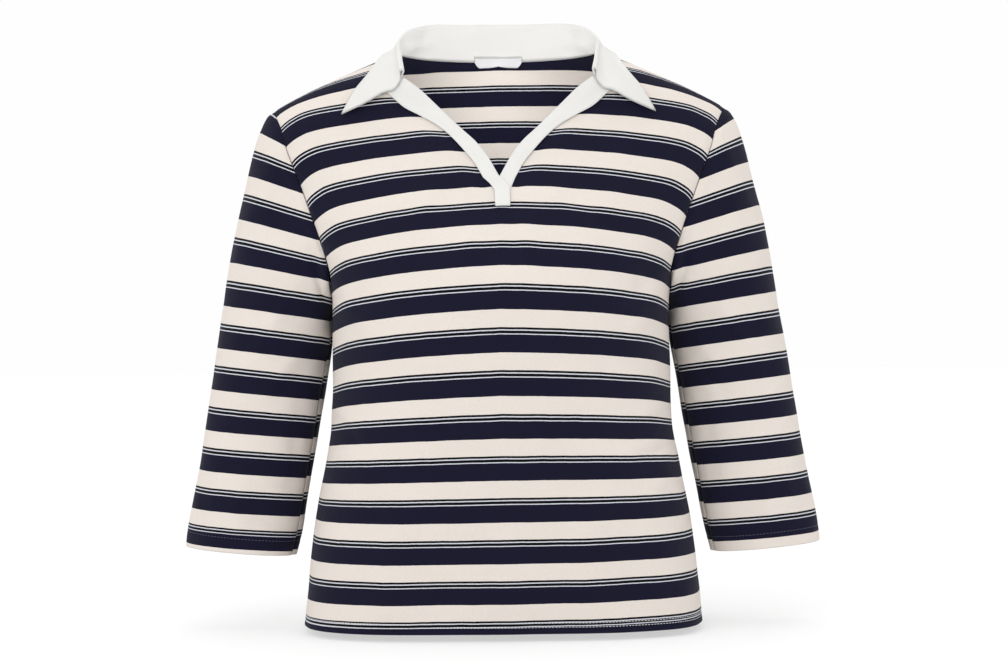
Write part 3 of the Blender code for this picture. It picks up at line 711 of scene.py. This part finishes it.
def panel_half(rows, side, half):
    """Outer and inner points, cloth and stripe coordinates and normals of one half of the
    front or back."""
    x, girth = rows[:, 0], rows[:, 1]
    points, normals = cloth(x, girth, side)
    level = len(body_heights())
    normals[:level, -1, 1] = 0
    mirror = np.array([half, 1, 1])
    points, normals = points * mirror, unit(normals) * mirror
    to_middle = steps_along(points)
    to_side = to_middle[:, -1:] - to_middle
    over_hem = points[..., 2] - HEM
    beside_v = np.where(np.arange(len(rows))[:, None] >= level + V_ROW, to_middle, FAR)
    beside_v = np.where(np.abs(girth) < WAVE_START, FAR, beside_v)
    lift = creases(points, "front" if side < 0 else "back")
    lift += waves(points) * smooth(np.minimum(to_side, np.abs(girth)) / WAVE_START)
    lift *= smooth(to_side / CREASE_START) * smooth(np.abs(girth) / CREASE_START)
    lift *= smooth((beside_v - BAND_COVER) / CREASE_START)
    lift += ridge(to_side, SEAM_DIP)
    lift += ridge(girth, SEAM_DIP)
    lift += grooves(over_hem, HEM_STITCHES)
    woven = np.stack([half * to_middle, steps_down(points)], -1)
    points = points + normals * lift[..., None]
    wall = np.where(over_hem < HEM_ALLOWANCE, HEM_WALL, KNIT)
    inner = points - normals * wall[..., None]
    striped = np.stack([half * to_middle, panel_count(x * half, girth, side, beside_v)], -1)
    return points, inner, woven, striped, normals


def placed(name, data):
    """A new object in the scene."""
    piece = bpy.data.objects.new(name, data)
    bpy.context.collection.objects.link(piece)
    return piece


def mesh_object(name, points, faces, layers, finish):
    """A smooth mesh with named layers of per-point texture coordinates."""
    mesh = bpy.data.meshes.new(name)
    mesh.from_pydata(points.tolist(), [], faces)
    corners = np.empty(len(mesh.loops), int)
    mesh.loops.foreach_get("vertex_index", corners)
    for layer, values in layers.items():
        mesh.uv_layers.new(name=layer).data.foreach_set("uv", values[corners].ravel())
    mesh.materials.append(finish)
    mesh.shade_smooth()
    return placed(name, mesh)


def shell(name, outer, inner, faces, layers, finish):
    """A closed wall of cloth from matching outer and inner points, with rounded edges."""
    count = len(outer)
    sides = {pair: True for face in faces for pair in zip(face, face[1:] + face[:1])}
    rim = [(a, b) for a, b in sides if (b, a) not in sides]
    off = np.zeros_like(outer)
    normals = unit(outer - inner)
    for a, b in rim:
        way = np.cross(outer[b] - outer[a], normals[a])
        off[a] += way
        off[b] += way
    edge = sorted({v for pair in rim for v in pair})
    number = {v: 2 * count + k for k, v in enumerate(edge)}
    wall = np.linalg.norm(outer[edge] - inner[edge], axis=1, keepdims=True)
    middle = (outer[edge] + inner[edge]) / 2 + unit(off[edge]) * wall * RIM_ROUND
    solid = faces + [tuple(count + v for v in reversed(face)) for face in faces]
    for a, b in rim:
        solid.append((b, a, number[a], number[b]))
        solid.append((number[b], number[a], count + a, count + b))
    points = np.concatenate([outer, inner, middle])
    layers = {key: np.concatenate([at, at, at[edge]]) for key, at in layers.items()}
    return mesh_object(name, points, solid, layers, finish)


def grid_faces(rows, columns, flip):
    """Quads of a grid whose points are numbered row by row."""
    faces = [(i * columns + j, i * columns + j + 1, (i + 1) * columns + j + 1, (i + 1) * columns + j)
             for i in range(rows - 1) for j in range(columns - 1)]
    return [face[::-1] for face in faces] if flip else faces


def grid_shell(name, outer, inner, layers, finish, flip=False):
    """A shell from grids of points."""
    faces = grid_faces(*outer.shape[:2], flip)
    flat = {layer: values.reshape(-1, 2) for layer, values in layers.items()}
    return shell(name, outer.reshape(-1, 3), inner.reshape(-1, 3), faces, flat, finish)


def panel(name, rows, side, split, finish):
    """The front or back. Rows above split have no middle point and lie beside the V."""
    halves = {half: panel_half(rows, side, half) for half in (1, -1)}
    shape = rows.shape[0], rows.shape[2]
    first = np.ones(shape, bool)
    second = first.copy()
    second[:split + 1, 0] = False
    gathered = [np.concatenate([halves[1][k][first], halves[-1][k][second]]) for k in range(4)]
    outer, inner, woven, striped = gathered
    numbers = np.arange(first.size).reshape(shape)
    later = np.where(second, first.size - 1 + np.cumsum(second).reshape(shape), numbers)
    faces = []
    for half, number in ((1, numbers), (-1, later)):
        number = number.ravel().tolist()
        for face in grid_faces(*shape, half * side > 0):
            faces.append(tuple(number[v] for v in face))
    piece = shell(name, outer, inner, faces, {"cloth": woven, "stripes": striped}, finish)
    return piece, halves


def armhole_loop():
    """The armhole's points from the underarm up the front and down the back, with the
    body's normals and the directions that lead off its cloth."""
    front_x, front_girth = armhole(-1)
    back_x, back_girth = armhole(1)
    points, normals = cloth(front_x, front_girth, -1)
    behind, normals_behind = cloth(back_x, back_girth, 1)
    points = np.concatenate([points, behind[-2:0:-1]])
    normals = np.concatenate([normals, normals_behind[-2:0:-1]])
    for seam in (0, ARM_ROWS):
        points[seam, 1] = 0
        normals[seam, 1] = 0
    normals = unit(normals)
    along = np.roll(points, -1, 0) - np.roll(points, 1, 0)
    return points, normals, unit(np.cross(along, normals))


def sleeve_line(table, reach, run):
    """The sleeve's points on one of its two side lines along its run."""
    top, cuff = table.rows[-1, 0], table.rows[0, 0]
    z = top + (cuff - top) * SLEEVE.at(reach, run)
    return np.stack([table.at("breadth", z), SLEEVE.at("middle_y", run), z], -1)


def sleeve_count(points, side):
    """The stripe count on the sleeve, from the height where its stripe meets the outer line."""
    breadth, height = points[..., 0], points[..., 2]
    start = height.copy()
    for _ in range(COUNT_STEPS):
        inward = np.maximum(SLEEVE_OUTER.at("breadth", start) - breadth, 0)
        target = height + np.tan(np.radians(SLEEVE_FALL.at("degrees", start))) * inward
        start = (1 - COUNT_SHARE) * start + COUNT_SHARE * target
    return SLEEVE_COUNT[side].at("count", start)


def sleeve_grid(side):
    """The sleeve's outer and inner points, its coordinates and its normals, as an open sheet
    with its two edges at the underarm seam, and each point's way to the cuff. side is 1 on
    the wearer's left."""
    seam, body_normals, leading = armhole_loop()
    around = len(seam)
    cuff = 1 - np.array(CUFF_ROWS)[::-1] / SLEEVE_LENGTH
    run = np.concatenate([shares(SLEEVE_ROWS)[:-1] ** SLEEVE_SPACING * cuff[0], cuff])
    twist = SLEEVE_TWIST * smooth(run / SLEEVE_TWIST_END)
    turn = np.arange(around)[None] * 2 * math.pi / around + twist[:, None]
    c, s = superellipse(turn, SLEEVE_SQUARENESS)
    outer = sleeve_line(SLEEVE_OUTER, "outer_reach", run)
    inner = sleeve_line(SLEEVE_INNER, "inner_reach", run)
    front, back = SLEEVE.at("front", run), SLEEVE.at("back", run)
    middle = (outer + inner) / 2
    half = (outer - inner) / 2
    rings = middle[:, None] - half[:, None] * c[..., None]
    rings[..., 1] -= np.where(s > 0, front[:, None], back[:, None]) * s
    settle = np.clip(1 - run / SLEEVE_SETTLES, 0, 1) ** 2 * (1 + 2 * run / SLEEVE_SETTLES)
    rings += settle[:, None, None] * (seam - rings[0])[None]
    down = np.gradient(rings, axis=0)
    along = np.roll(rings, -1, 1) - np.roll(rings, 1, 1)
    normals = unit(np.cross(down, along))
    # At the seam the wall turns out of the body's cloth about its outer edge.
    cosine = np.sum(normals[0] * body_normals, -1)
    sine = np.maximum(-np.sum(normals[0] * leading, -1), 0)
    size = np.maximum(np.hypot(cosine, sine), 1e-6)
    cosine, sine = (cosine / size)[:, None], (sine / size)[:, None]
    off = unit((1 + cosine + sine) * leading + (1 - cosine + sine) * body_normals)
    normals[0] = cosine * body_normals - sine * leading
    rings[0] = seam + SEAM_GAP * off
    rings = np.concatenate([rings, rings[:, :1]], 1)
    normals = np.concatenate([normals, normals[:, :1]], 1)
    from_seam = steps_down(rings)
    to_cuff = from_seam[-1:] - from_seam
    around_arm = steps_along(rings)
    from_edge = np.minimum(around_arm, around_arm[:, -1:] - around_arm)
    facing = smooth(0.5 - SLEEVE_FACING * normals[..., 1])
    lift = creases(rings, "sleeve_front") * facing
    lift += creases(rings, "sleeve_back") * (1 - facing)
    lift += waves(rings + np.array([SLEEVE_WAVE_SHIFT * side, 0, 0]))
    lift *= smooth(from_seam / SLEEVE_CREASE_START) * smooth(from_edge / CREASE_START)
    lift += ridge(from_seam, SLEEVE_PUFF)
    lift += ridge(from_seam, SEAM_DIP)
    lift += ridge(from_edge, SEAM_DIP)
    lift += grooves(to_cuff, (CUFF_STITCH,))
    rings[:, 0] += 0.5 * SEAM_GAP * unit(rings[:, 1] - rings[:, 0])
    rings[:, -1] += 0.5 * SEAM_GAP * unit(rings[:, -2] - rings[:, -1])
    count = sleeve_count(rings, side) + SEAM_JOG * np.exp(-around_arm / JOG_REACH)
    rings = rings + normals * lift[..., None]
    wall = np.where(to_cuff < CUFF_ALLOWANCE, HEM_WALL, KNIT)
    under = rings - normals * wall[..., None]
    mirror = np.array([side, 1, 1])
    layers = {"cloth": np.stack([around_arm, -from_seam], -1),
              "stripes": np.stack([around_arm, count], -1)}
    return rings * mirror, under * mirror, layers, normals * mirror, to_cuff


def neck_edge():
    """The points of the panels' neck edge on the wearer's left, from the back's middle to
    the V: turns, points, normals and the ways off the cloth."""
    points, normals = cloth(*back_neck(), 1)
    share = shares(NECK_ROWS)[1:]
    end_x, end_z = band_line(0, 1 - BAND_ON_PANEL)
    ahead, normals_ahead = cloth(NECK_SIDE + (end_x - NECK_SIDE) * share,
                                 height_girth(end_x, end_z) * share, -1)
    turns = np.concatenate([np.linspace(0, NECK_SIDE_TURN, NECK_COLUMNS + 1),
                            NECK_SIDE_TURN + (1 - NECK_SIDE_TURN) * share])
    points = np.concatenate([points, ahead])
    normals = np.concatenate([normals, normals_ahead])
    leading = unit(np.cross(np.gradient(points, axis=0), normals))
    leading[0] = unit(leading[0] * np.array([0, 1, 1]))
    return turns, points, normals, leading


NECK_EDGE = neck_edge()


def point_at(place, measure, line):
    """The point of a line where the measure along it is place."""
    return np.array([np.interp(place, measure, line[:, axis]) for axis in range(3)])


def at_neck(turn, k):
    """The point, normal or way off the cloth at a turn of the neck edge."""
    return point_at(turn, NECK_EDGE[0], NECK_EDGE[k])


def roll_point(turn):
    """The top of the collar's roll."""
    return at_neck(turn, 1) + np.array([COLLAR.at(name, turn) for name in COLLAR.names[1:4]])


def across(direction, along):
    """The direction's part at a right angle to a line."""
    return unit(direction - along * np.dot(direction, along))


def collar_line(turn):
    """One line across the collar on the wearer's left: from its seam over the roll, the fall
    to its edge, and the seam's outer point."""
    point, normal, leading = (at_neck(turn, k) for k in (1, 2, 3))
    seam = point - normal * JERSEY + leading * COLLAR_GAP
    under = point + leading * COLLAR_GAP
    roll = roll_point(turn)
    along = unit(roll_point(min(turn + TURN_STEP, 1)) - roll_point(max(turn - TURN_STEP, 0)))
    if turn == 0:
        along = np.array([1.0, 0.0, 0.0])
    girth = COLLAR.at("edge_girth", turn)
    point, normal = cloth(COLLAR.at("edge_x", turn), girth, -1 if girth < 0 else 1)
    edge = point + normal * (COLLAR_LIFT + WOVEN)
    up = across(np.array([0.0, 0.0, 1.0]), along)
    outward = across(unit((edge - roll) * np.array([1, 1, 0])), along)
    pressed = np.clip((turn - PRESSED_START) / (1 - PRESSED_START), 0, 1)
    radius = ROLL_RADIUS + (END_RADIUS - ROLL_RADIUS) * pressed
    angles = np.radians(ROLL_ANGLES)[:, None]
    arc = roll + radius * (np.cos(angles) * outward + (np.sin(angles) - 1) * up)
    rise = np.linalg.norm(arc[0] - seam)
    leaf = edge - arc[-1]
    length = np.linalg.norm(leaf)
    settle = unit(leaf - normal * np.dot(leaf, normal))
    stand = hermite(STAND_SHARES[:, None], seam, unit(leading + up) * rise,
                    arc[0], unit(arc[1] - arc[0]) * rise * STAND_ARRIVES)
    fall = hermite(FALL_SHARES[:, None], arc[-1], unit(arc[-1] - arc[-2]) * length * FALL_LEAVES,
                   edge, settle * length * FALL_ARRIVES)
    return np.concatenate([stand, arc]), fall, under


def leading_edge():
    """The front end of the collar's fall, from the roll line to the point."""
    x = LEADING.at("breadth", FALL_SHARES)
    z = LEADING.at("height", FALL_SHARES)
    points, normals = cloth(x, height_girth(x, z), -1)
    return points + normals * (LEADING.at("lift", FALL_SHARES) + WOVEN)[:, None]


def both_halves(left):
    """Points on the wearer's left, with their mirror image before them."""
    left = np.array(left)
    return np.concatenate([left[:0:-1] * np.array([-1, 1, 1]), left])


def collar_grid():
    """The collar's upper and under points and its coordinates, line by line from the
    wearer's right to the left."""
    turns = np.linspace(0, COLLAR_END, COLLAR_LINES + 1)
    lines = [collar_line(turn) for turn in turns]
    shift = leading_edge() - lines[-1][1]
    half = []
    for turn, (stand, fall, _) in zip(turns, lines):
        share = np.clip((turn - LEADING_START) / (1 - LEADING_START), 0, 1) ** LEADING_POWER
        half.append(np.concatenate([stand, fall + shift * share]))
    grid = both_halves(half)
    normals = unit(np.cross(np.gradient(grid, axis=0), np.gradient(grid, axis=1)))
    around = steps_down(grid)
    deep = steps_along(grid)
    to_edge = deep[:, -1:] - deep
    to_end = np.minimum(around, around[-1:] - around)
    in_fall = deep > deep[:, -1:] * COLLAR_END_SHARE
    border = np.where(in_fall, np.minimum(to_edge, to_end), to_edge)
    grid = grid + normals * collar_relief(grid, border, deep)[..., None]
    under = grid - normals * WOVEN
    under[:, 0] = both_halves([line[2] for line in lines])
    return grid, under, {"cloth": np.stack([around, deep], -1)}


def collar_relief(grid, border, deep):
    """The pressed seam inside the collar's edge, the stand's creases and a few soft dents."""
    lift = ridge(border, COLLAR_SEAM) + ridge(border, COLLAR_SWELL)
    inside = smooth(border / COLLAR_EDGE_FLAT)
    waved = COLLAR_WAVES * waves(grid * COLLAR_WAVE_SCALE)
    lift += waved * smooth(deep / COLLAR_WAVE_START) * inside
    column = np.arange(grid.shape[1])
    roll = len(STAND_SHARES) + len(ROLL_ANGLES) / 2
    in_stand = smooth(deep / COLLAR_EDGE_FLAT) * smooth((roll - column) / STAND_FADE)
    in_leaf = smooth((column - roll) / LEAF_FADE) * inside
    for name, share in (("stand", in_stand), ("leaf", in_leaf)):
        lift += (creases(grid, name) + creases(grid, name, -1)) * share
    return lift


def band_grid(side):
    """Outer and inner points of a V band, its coordinates and its normals. side is 1 on the
    wearer's left."""
    ends = []
    for run in np.linspace(BAND_START, 1, BAND_ROWS + 1):
        under = BAND_UNDER * max(0, 1 - (run - BAND_START) / BAND_UNDER_REACH)
        (ix, iz), (ox, oz) = band_line(run, 0), band_line(run - under, 1)
        ends.append((side * ix, iz, side * ox, oz))
    if side < 0:
        for share in shares(STUB_ROWS)[1:]:
            ends.append([STUB.at(name, share) for name in STUB.names[1:]])
    else:
        last = np.array(ends[-1])
        for share in shares(UNDER_ROWS)[1:]:
            ends.append(last + (np.array(UNDER_END) - last) * share)
    ends = np.array(ends, float)
    spread = shares(BAND_COLUMNS)
    x = ends[:, :1] + (ends[:, 2:3] - ends[:, :1]) * spread
    z = ends[:, 1:2] + (ends[:, 3:] - ends[:, 1:2]) * spread
    points, normals = cloth(x, height_girth(x, z), -1)
    over = steps_along(points)
    edge = np.minimum(over, over[:, -1:] - over)
    lift = BAND_CROWN * np.sin(math.pi * spread) + ridge(edge, BAND_GROOVE)
    lift += BAND_WAVES * waves(points * BAND_WAVE_SCALE)
    lift += creases(points, "band", side) * smooth(edge / BAND_CREASE_START)
    rise = BAND_LIFT + WOVEN + lift
    if side > 0:
        # The under band sinks where the top band laps over it.
        along = np.arange(len(ends))[:, None] / BAND_ROWS
        rise = rise - UNDER_SINK * smooth((along - UNDER_SINK_START) / UNDER_SINK_REACH)
    outer = points + normals * rise[..., None]
    layers = {"cloth": np.stack([over, steps_down(points)], -1)}
    return outer, outer - normals * BAND_WALL, layers, normals


def label_grid():
    """The small label that hangs inside the back of the neck, with a softly lobed lower edge."""
    x = np.linspace(-LABEL_BREADTH / 2, LABEL_BREADTH / 2, LABEL_COLUMNS + 1)
    place = x / (LABEL_BREADTH / 2)
    lobes = LABEL_LOBE * (1 - np.abs(np.sin(math.pi * place)) ** LABEL_LOBE_POWER)
    beyond = np.maximum(np.abs(place) - LABEL_CORNER_START, 0) / (1 - LABEL_CORNER_START)
    corner = LABEL_CORNER * beyond ** LABEL_CORNER_POWER
    drop = LABEL_HEIGHT - lobes * (np.abs(place) < LABEL_LOBES_END) - corner
    share = shares(LABEL_ROWS)[:, None]
    z = NECK_BACK - LABEL_TOP - drop * share
    x = np.broadcast_to(x, z.shape)
    points, normals = cloth(x, height_girth(x, z), 1)
    curl = LABEL_CURL * share ** 2 * np.cos(2 * math.pi * place) + LABEL_STANDS
    outer = points - normals * (JERSEY + LABEL_GAP + curl[..., None])
    return outer, outer - normals * LABEL_WALL, {"cloth": np.stack([x, z], -1)}


def stitches(name, lines, thread, finish):
    """Short raised threads along lines of points, joined as one mesh."""
    spacing, length, radius = thread
    end, end_radius = THREAD_END
    around, rings = THREAD_SIDES, THREAD_RINGS
    turn = np.arange(around) * 2 * math.pi / around
    ball = np.array([(math.cos(p), math.sin(p) * math.cos(t), math.sin(p) * math.sin(t))
                     for p in np.linspace(0, math.pi, rings) for t in turn])
    ball[:around] = np.stack([np.full(around, end), end_radius * np.cos(turn),
                              end_radius * np.sin(turn)], -1)
    ball[-around:] = ball[:around] * np.array([-1, 1, 1])
    sides = [(i * around + j, i * around + (j + 1) % around,
              (i + 1) * around + (j + 1) % around, (i + 1) * around + j)
             for i in range(rings - 1) for j in range(around)]
    caps = [tuple(range(around - 1, -1, -1)), tuple(range(around * (rings - 1), around * rings))]
    points, faces = [], []
    for line, normals in lines:
        gone = steps_along(line)
        count = max(int(gone[-1] / spacing), 1)
        for place in (np.arange(count) + 0.5) * gone[-1] / count:
            centre = point_at(place, gone, line)
            up = unit(point_at(place, gone, normals))
            way = across(point_at(place + length / 2, gone, line) - centre, up)
            base = len(points) * len(ball)
            points.append(centre + ball[:, :1] * way * length / 2
                          + ball[:, 1:2] * np.cross(up, way) * radius + ball[:, 2:] * up * radius)
            faces += [tuple(base + v for v in face) for face in sides + caps]
    return mesh_object(name, np.concatenate(points), faces, {}, finish)


class Nodes:
    """A short way to write a material's nodes."""

    def __init__(self, name):
        self.material = bpy.data.materials.new(name)
        self.material.use_nodes = True
        self.tree = self.material.node_tree

    def fill(self, node, links):
        """Each input, by name or number, from another node's output or a plain value."""
        for key, value in dict(links).items():
            if isinstance(value, bpy.types.NodeSocket):
                self.tree.links.new(value, node.inputs[key])
            else:
                node.inputs[key].default_value = value

    def add(self, kind, links=(), **settings):
        """A node with its settings and inputs."""
        node = self.tree.nodes.new(kind)
        for key, value in settings.items():
            setattr(node, key, value)
        self.fill(node, links)
        return node

    def out(self, kind, links=(), **settings):
        """The first output of such a node."""
        return self.add(kind, links, **settings).outputs[0]

    def finish(self, links):
        """The material, with its shader's inputs."""
        self.fill(self.tree.nodes["Principled BSDF"], links)
        return self.material

    def math(self, operation, *values):
        return self.out("ShaderNodeMath", enumerate(values), operation=operation)

    def times(self, a, b):
        return self.math("MULTIPLY", a, b)

    def grain(self, vector, cells, detail=2.0):
        """Noise with this many cells a metre along each part of a vector."""
        place = self.out("ShaderNodeVectorMath", {0: vector, 1: cells}, operation="MULTIPLY")
        return self.out("ShaderNodeTexNoise", {"Vector": place, "Scale": 1.0, "Detail": detail})

    def layer(self, name):
        """A named layer of texture coordinates, with its two parts."""
        vector = self.out("ShaderNodeUVMap", uv_map=name)
        parts = self.add("ShaderNodeSeparateXYZ", {0: vector}).outputs
        return vector, parts[0], parts[1]

    def range(self, value, low, high):
        """A value from 0 to 1 turned into one from low to high."""
        return self.out("ShaderNodeMapRange", {0: value, 3: low, 4: high})

    def tint(self, colour, value):
        """A colour made lighter or darker by a value near 1."""
        if not isinstance(colour, bpy.types.NodeSocket):
            plain = self.out("ShaderNodeRGB")
            plain.default_value = colour
            colour = plain
        return self.out("ShaderNodeVectorMath", {0: colour, "Scale": value}, operation="SCALE")

    def bump(self, height, distance, strength, under=None):
        """Relief, on top of another one where it is given."""
        links = {"Height": height, "Distance": distance, "Strength": strength}
        if under is not None:
            links["Normal"] = under
        return self.out("ShaderNodeBump", links)


def knit_height(nodes, u, v):
    """Rows of small V-shaped loops."""
    wale = nodes.math("FRACT", nodes.math("DIVIDE", u, WALE))
    side = nodes.math("ABSOLUTE", nodes.math("SUBTRACT", wale, 0.5))
    leg = nodes.math("ABSOLUTE", nodes.math("SUBTRACT", side, 0.25))
    leg = nodes.math("SUBTRACT", 1.0, nodes.math("POWER", nodes.times(leg, 4.0), 2.0))
    slant = nodes.times(side, COURSE_SLANT)
    course = nodes.math("ADD", nodes.math("DIVIDE", v, COURSE), slant)
    loop = nodes.math("SINE", nodes.times(nodes.math("FRACT", course), math.pi))
    loop = nodes.math("ADD", nodes.times(loop, LOOP_SHARE), 1 - LOOP_SHARE)
    return nodes.times(leg, loop)


def jersey_finish():
    """Striped cotton jersey: knitted-in stripes, uneven yarn, fine loops with painted shade in the
    hollows between them, and a soft nap.
    """
    nodes = Nodes("striped_jersey_cloth")
    vector, u, v = nodes.layer("cloth")
    _, _, count = nodes.layer("stripes")
    loops = nodes.grain(vector, (950.0, 1250.0, 0.0), 1.0)
    drift = nodes.grain(vector, (60.0, 8.0, 0.0))
    jitter = nodes.math("ADD", nodes.range(loops, -0.006, 0.006), nodes.range(drift, -0.009, 0.009))
    place = nodes.math("FRACT", nodes.math("SUBTRACT", jitter, count))
    ramp = nodes.add("ShaderNodeValToRGB", {0: place})
    ramp.color_ramp.interpolation = "CONSTANT"
    stops = ramp.color_ramp.elements
    for k, (share, colour) in enumerate(SHARES):
        stop = stops[k] if k < 2 else stops.new(share)
        stop.position = share
        stop.color = colour
    yarn = nodes.grain(vector, (260.0, 2400.0, 0.0))
    cloud = nodes.grain(vector, (14.0, 18.0, 0.0), 3.0)
    height = knit_height(nodes, u, v)
    tone = nodes.times(nodes.range(yarn, 0.90, 1.10), nodes.range(cloud, 0.965, 1.035))
    # Painted shade: the colour darkens where the knit's loops sink, in the hollows between them.
    tone = nodes.times(tone, nodes.range(height, 0.90, 1.04))
    slub = nodes.bump(yarn, distance=0.00010, strength=0.35)
    fuzz = nodes.grain(vector, (2600.0, 2600.0, 0.0))
    nap = nodes.bump(fuzz, distance=0.00008, strength=0.30, under=slub)
    return nodes.finish({
        "Base Color": nodes.tint(ramp.outputs[0], tone),
        "Roughness": nodes.range(yarn, 0.80, 0.95),
        "Normal": nodes.bump(height, distance=0.00016, strength=0.55, under=nap),
        "Sheen Weight": 0.05,
        "Sheen Roughness": 0.45,
        "Specular IOR Level": 0.12,
    })


def woven_finish(name, colour, pitch, relief, sheen):
    """White woven cotton with a fine slanting rib, or smooth tape."""
    nodes = Nodes(name)
    vector, u, v = nodes.layer("cloth")
    slant = nodes.math("DIVIDE", v, pitch * TWILL_SLANT)
    slant = nodes.math("ADD", nodes.math("DIVIDE", u, pitch), slant)
    rib = nodes.math("SINE", nodes.times(slant, 2 * math.pi))
    thread = nodes.times(nodes.math("DIVIDE", u, pitch / 2), 2 * math.pi)
    thread = nodes.times(nodes.math("SINE", thread), 0.2)
    height = nodes.math("ADD", nodes.times(rib, 0.5), thread)
    cloud = nodes.grain(vector, (22.0, 30.0, 0.0), 4.0)
    yarn = nodes.grain(vector, (1500.0, 240.0, 0.0))
    tone = nodes.times(nodes.range(cloud, 0.97, 1.03), nodes.range(yarn, 0.965, 1.03))
    crumple = nodes.bump(cloud, distance=0.0020, strength=0.25)
    return nodes.finish({
        "Base Color": nodes.tint(colour, tone),
        "Roughness": nodes.range(yarn, 0.68, 0.86),
        "Normal": nodes.bump(height, distance=0.00010, strength=relief, under=crumple),
        "Sheen Weight": sheen,
        "Sheen Roughness": 0.4,
        "Specular IOR Level": 0.3,
    })


def thread_finish(name, colour):
    """Sewing thread: twisted and faintly glossy."""
    nodes = Nodes(name)
    place = nodes.add("ShaderNodeNewGeometry").outputs["Position"]
    twist = nodes.grain(place, (2200.0, 2200.0, 2200.0))
    return nodes.finish({
        "Base Color": nodes.tint(colour, nodes.range(twist, 0.88, 1.08)),
        "Roughness": nodes.range(twist, 0.45, 0.65),
        "Normal": nodes.bump(twist, distance=0.00008, strength=0.4),
    })


def floor_finish():
    """A matt pale studio floor."""
    nodes = Nodes("studio_floor")
    place = nodes.add("ShaderNodeNewGeometry").outputs["Position"]
    cloud = nodes.grain(place, (3.0, 3.0, 3.0))
    return nodes.finish({
        "Base Color": nodes.tint(FLOOR_GREY, nodes.range(cloud, 0.99, 1.01)),
        "Emission Color": LIGHT,
        "Emission Strength": FLOOR_GLOW,
        "Roughness": 0.9,
        "Specular IOR Level": 0.1,
    })


def hem_line(halves, height):
    """The outer points and normals of a panel's row at a height above the hem."""
    row = int(np.argmin(np.abs(body_heights() - HEM - height)))
    return [np.concatenate([halves[-1][k][row, :0:-1], halves[1][k][row]]) for k in (0, 4)]


def dress():
    """All pieces of the garment, with what each stands for."""
    jersey = jersey_finish()
    twill = woven_finish("white_woven_cloth", WHITE, TWILL_PITCH, relief=0.45, sheen=0.10)
    tape = woven_finish("label_satin_tape", TAPE, TAPE_PITCH, relief=0.20, sheen=0.25)
    white_thread = thread_finish("white_thread", WHITE_THREAD)
    grey_thread = thread_finish("grey_thread", GREY_THREAD)
    made = {}
    rows = front_rows()
    split = len(body_heights()) - 1 + V_ROW
    made["front"], front_halves = panel("front_cloth", rows, -1, split, jersey)
    rows = back_rows()
    made["back"], back_halves = panel("back_cloth", rows, 1, len(rows), jersey)
    cuff_lines = {}
    for name, side in SIDES.items():
        node = "sleeve_" + name
        outer, inner, layers, normals, to_cuff = sleeve_grid(side)
        made[node] = grid_shell(node + "_cloth", outer, inner, layers, jersey, flip=side < 0)
        row = int(np.argmin(np.abs(to_cuff[:, 0] - CUFF_STITCH)))
        cuff_lines[node] = [(outer[row], normals[row])]
    made["collar"] = grid_shell("collar_cloth", *collar_grid(), twill)
    band_lines = []
    for name, side in SIDES.items():
        node = "band_" + name
        outer, inner, layers, normals = band_grid(side)
        made[node] = grid_shell(node + "_cloth", outer, inner, layers, twill, flip=side > 0)
        band_lines += [(outer[:, k], normals[:, k]) for k in (1, BAND_COLUMNS - 1)]
    made["neck_label"] = grid_shell("neck_label_cloth", *label_grid(), tape, flip=True)
    for node, piece in made.items():
        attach(piece, "root")
        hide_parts(node)
    hem_lines = [hem_line(halves, height)
                 for height in HEM_STITCHES for halves in (front_halves, back_halves)]
    trims = [
        ("hem_stitches", hem_lines, HEM_THREAD, white_thread),
        ("band_stitches", band_lines, BAND_THREAD, white_thread),
    ]
    for node, lines in cuff_lines.items():
        trims.append((node + "_stitches", lines, CUFF_THREAD, grey_thread))
    for name, lines, thread, finish in trims:
        piece = stitches(name, lines, thread, finish)
        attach(piece, "root")
    return made


def studio():
    """A pale floor, soft light and the camera."""
    bpy.ops.mesh.primitive_circle_add(vertices=96, radius=FLOOR_RADIUS, fill_type="NGON",
                                      location=(0, 0, FLOOR_HEIGHT))
    floor = bpy.context.object
    floor.name = "studio_floor"
    floor.data.materials.append(floor_finish())
    world = bpy.data.worlds.new("studio")
    world.use_nodes = True
    backdrop = world.node_tree.nodes["Background"]
    backdrop.inputs["Color"].default_value = LIGHT
    backdrop.inputs["Strength"].default_value = SKY_STRENGTH
    bpy.context.scene.world = world
    for name, (place, aim_at, size, power) in LAMPS.items():
        light = bpy.data.lights.new(name, "AREA")
        light.size = size
        light.energy = power
        lamp = placed(name, light)
        lamp.visible_camera = False
        lamp.location = place
        aim = Vector(place) - Vector(aim_at)
        lamp.rotation_euler = aim.to_track_quat("Z", "Y").to_euler()
    camera = placed("camera", bpy.data.cameras.new("camera"))
    camera.data.lens = CAMERA_LENS
    camera.data.sensor_width = SENSOR
    camera.location = CAMERA_PLACE
    upright = Matrix.Rotation(math.radians(90), 4, "X")
    roll = Matrix.Rotation(math.radians(CAMERA_ROLL), 4, "Z")
    camera.rotation_euler = (upright @ roll).to_euler()
    bpy.context.scene.camera = camera
    bpy.context.scene.view_settings.view_transform = "Standard"


dress()
studio()
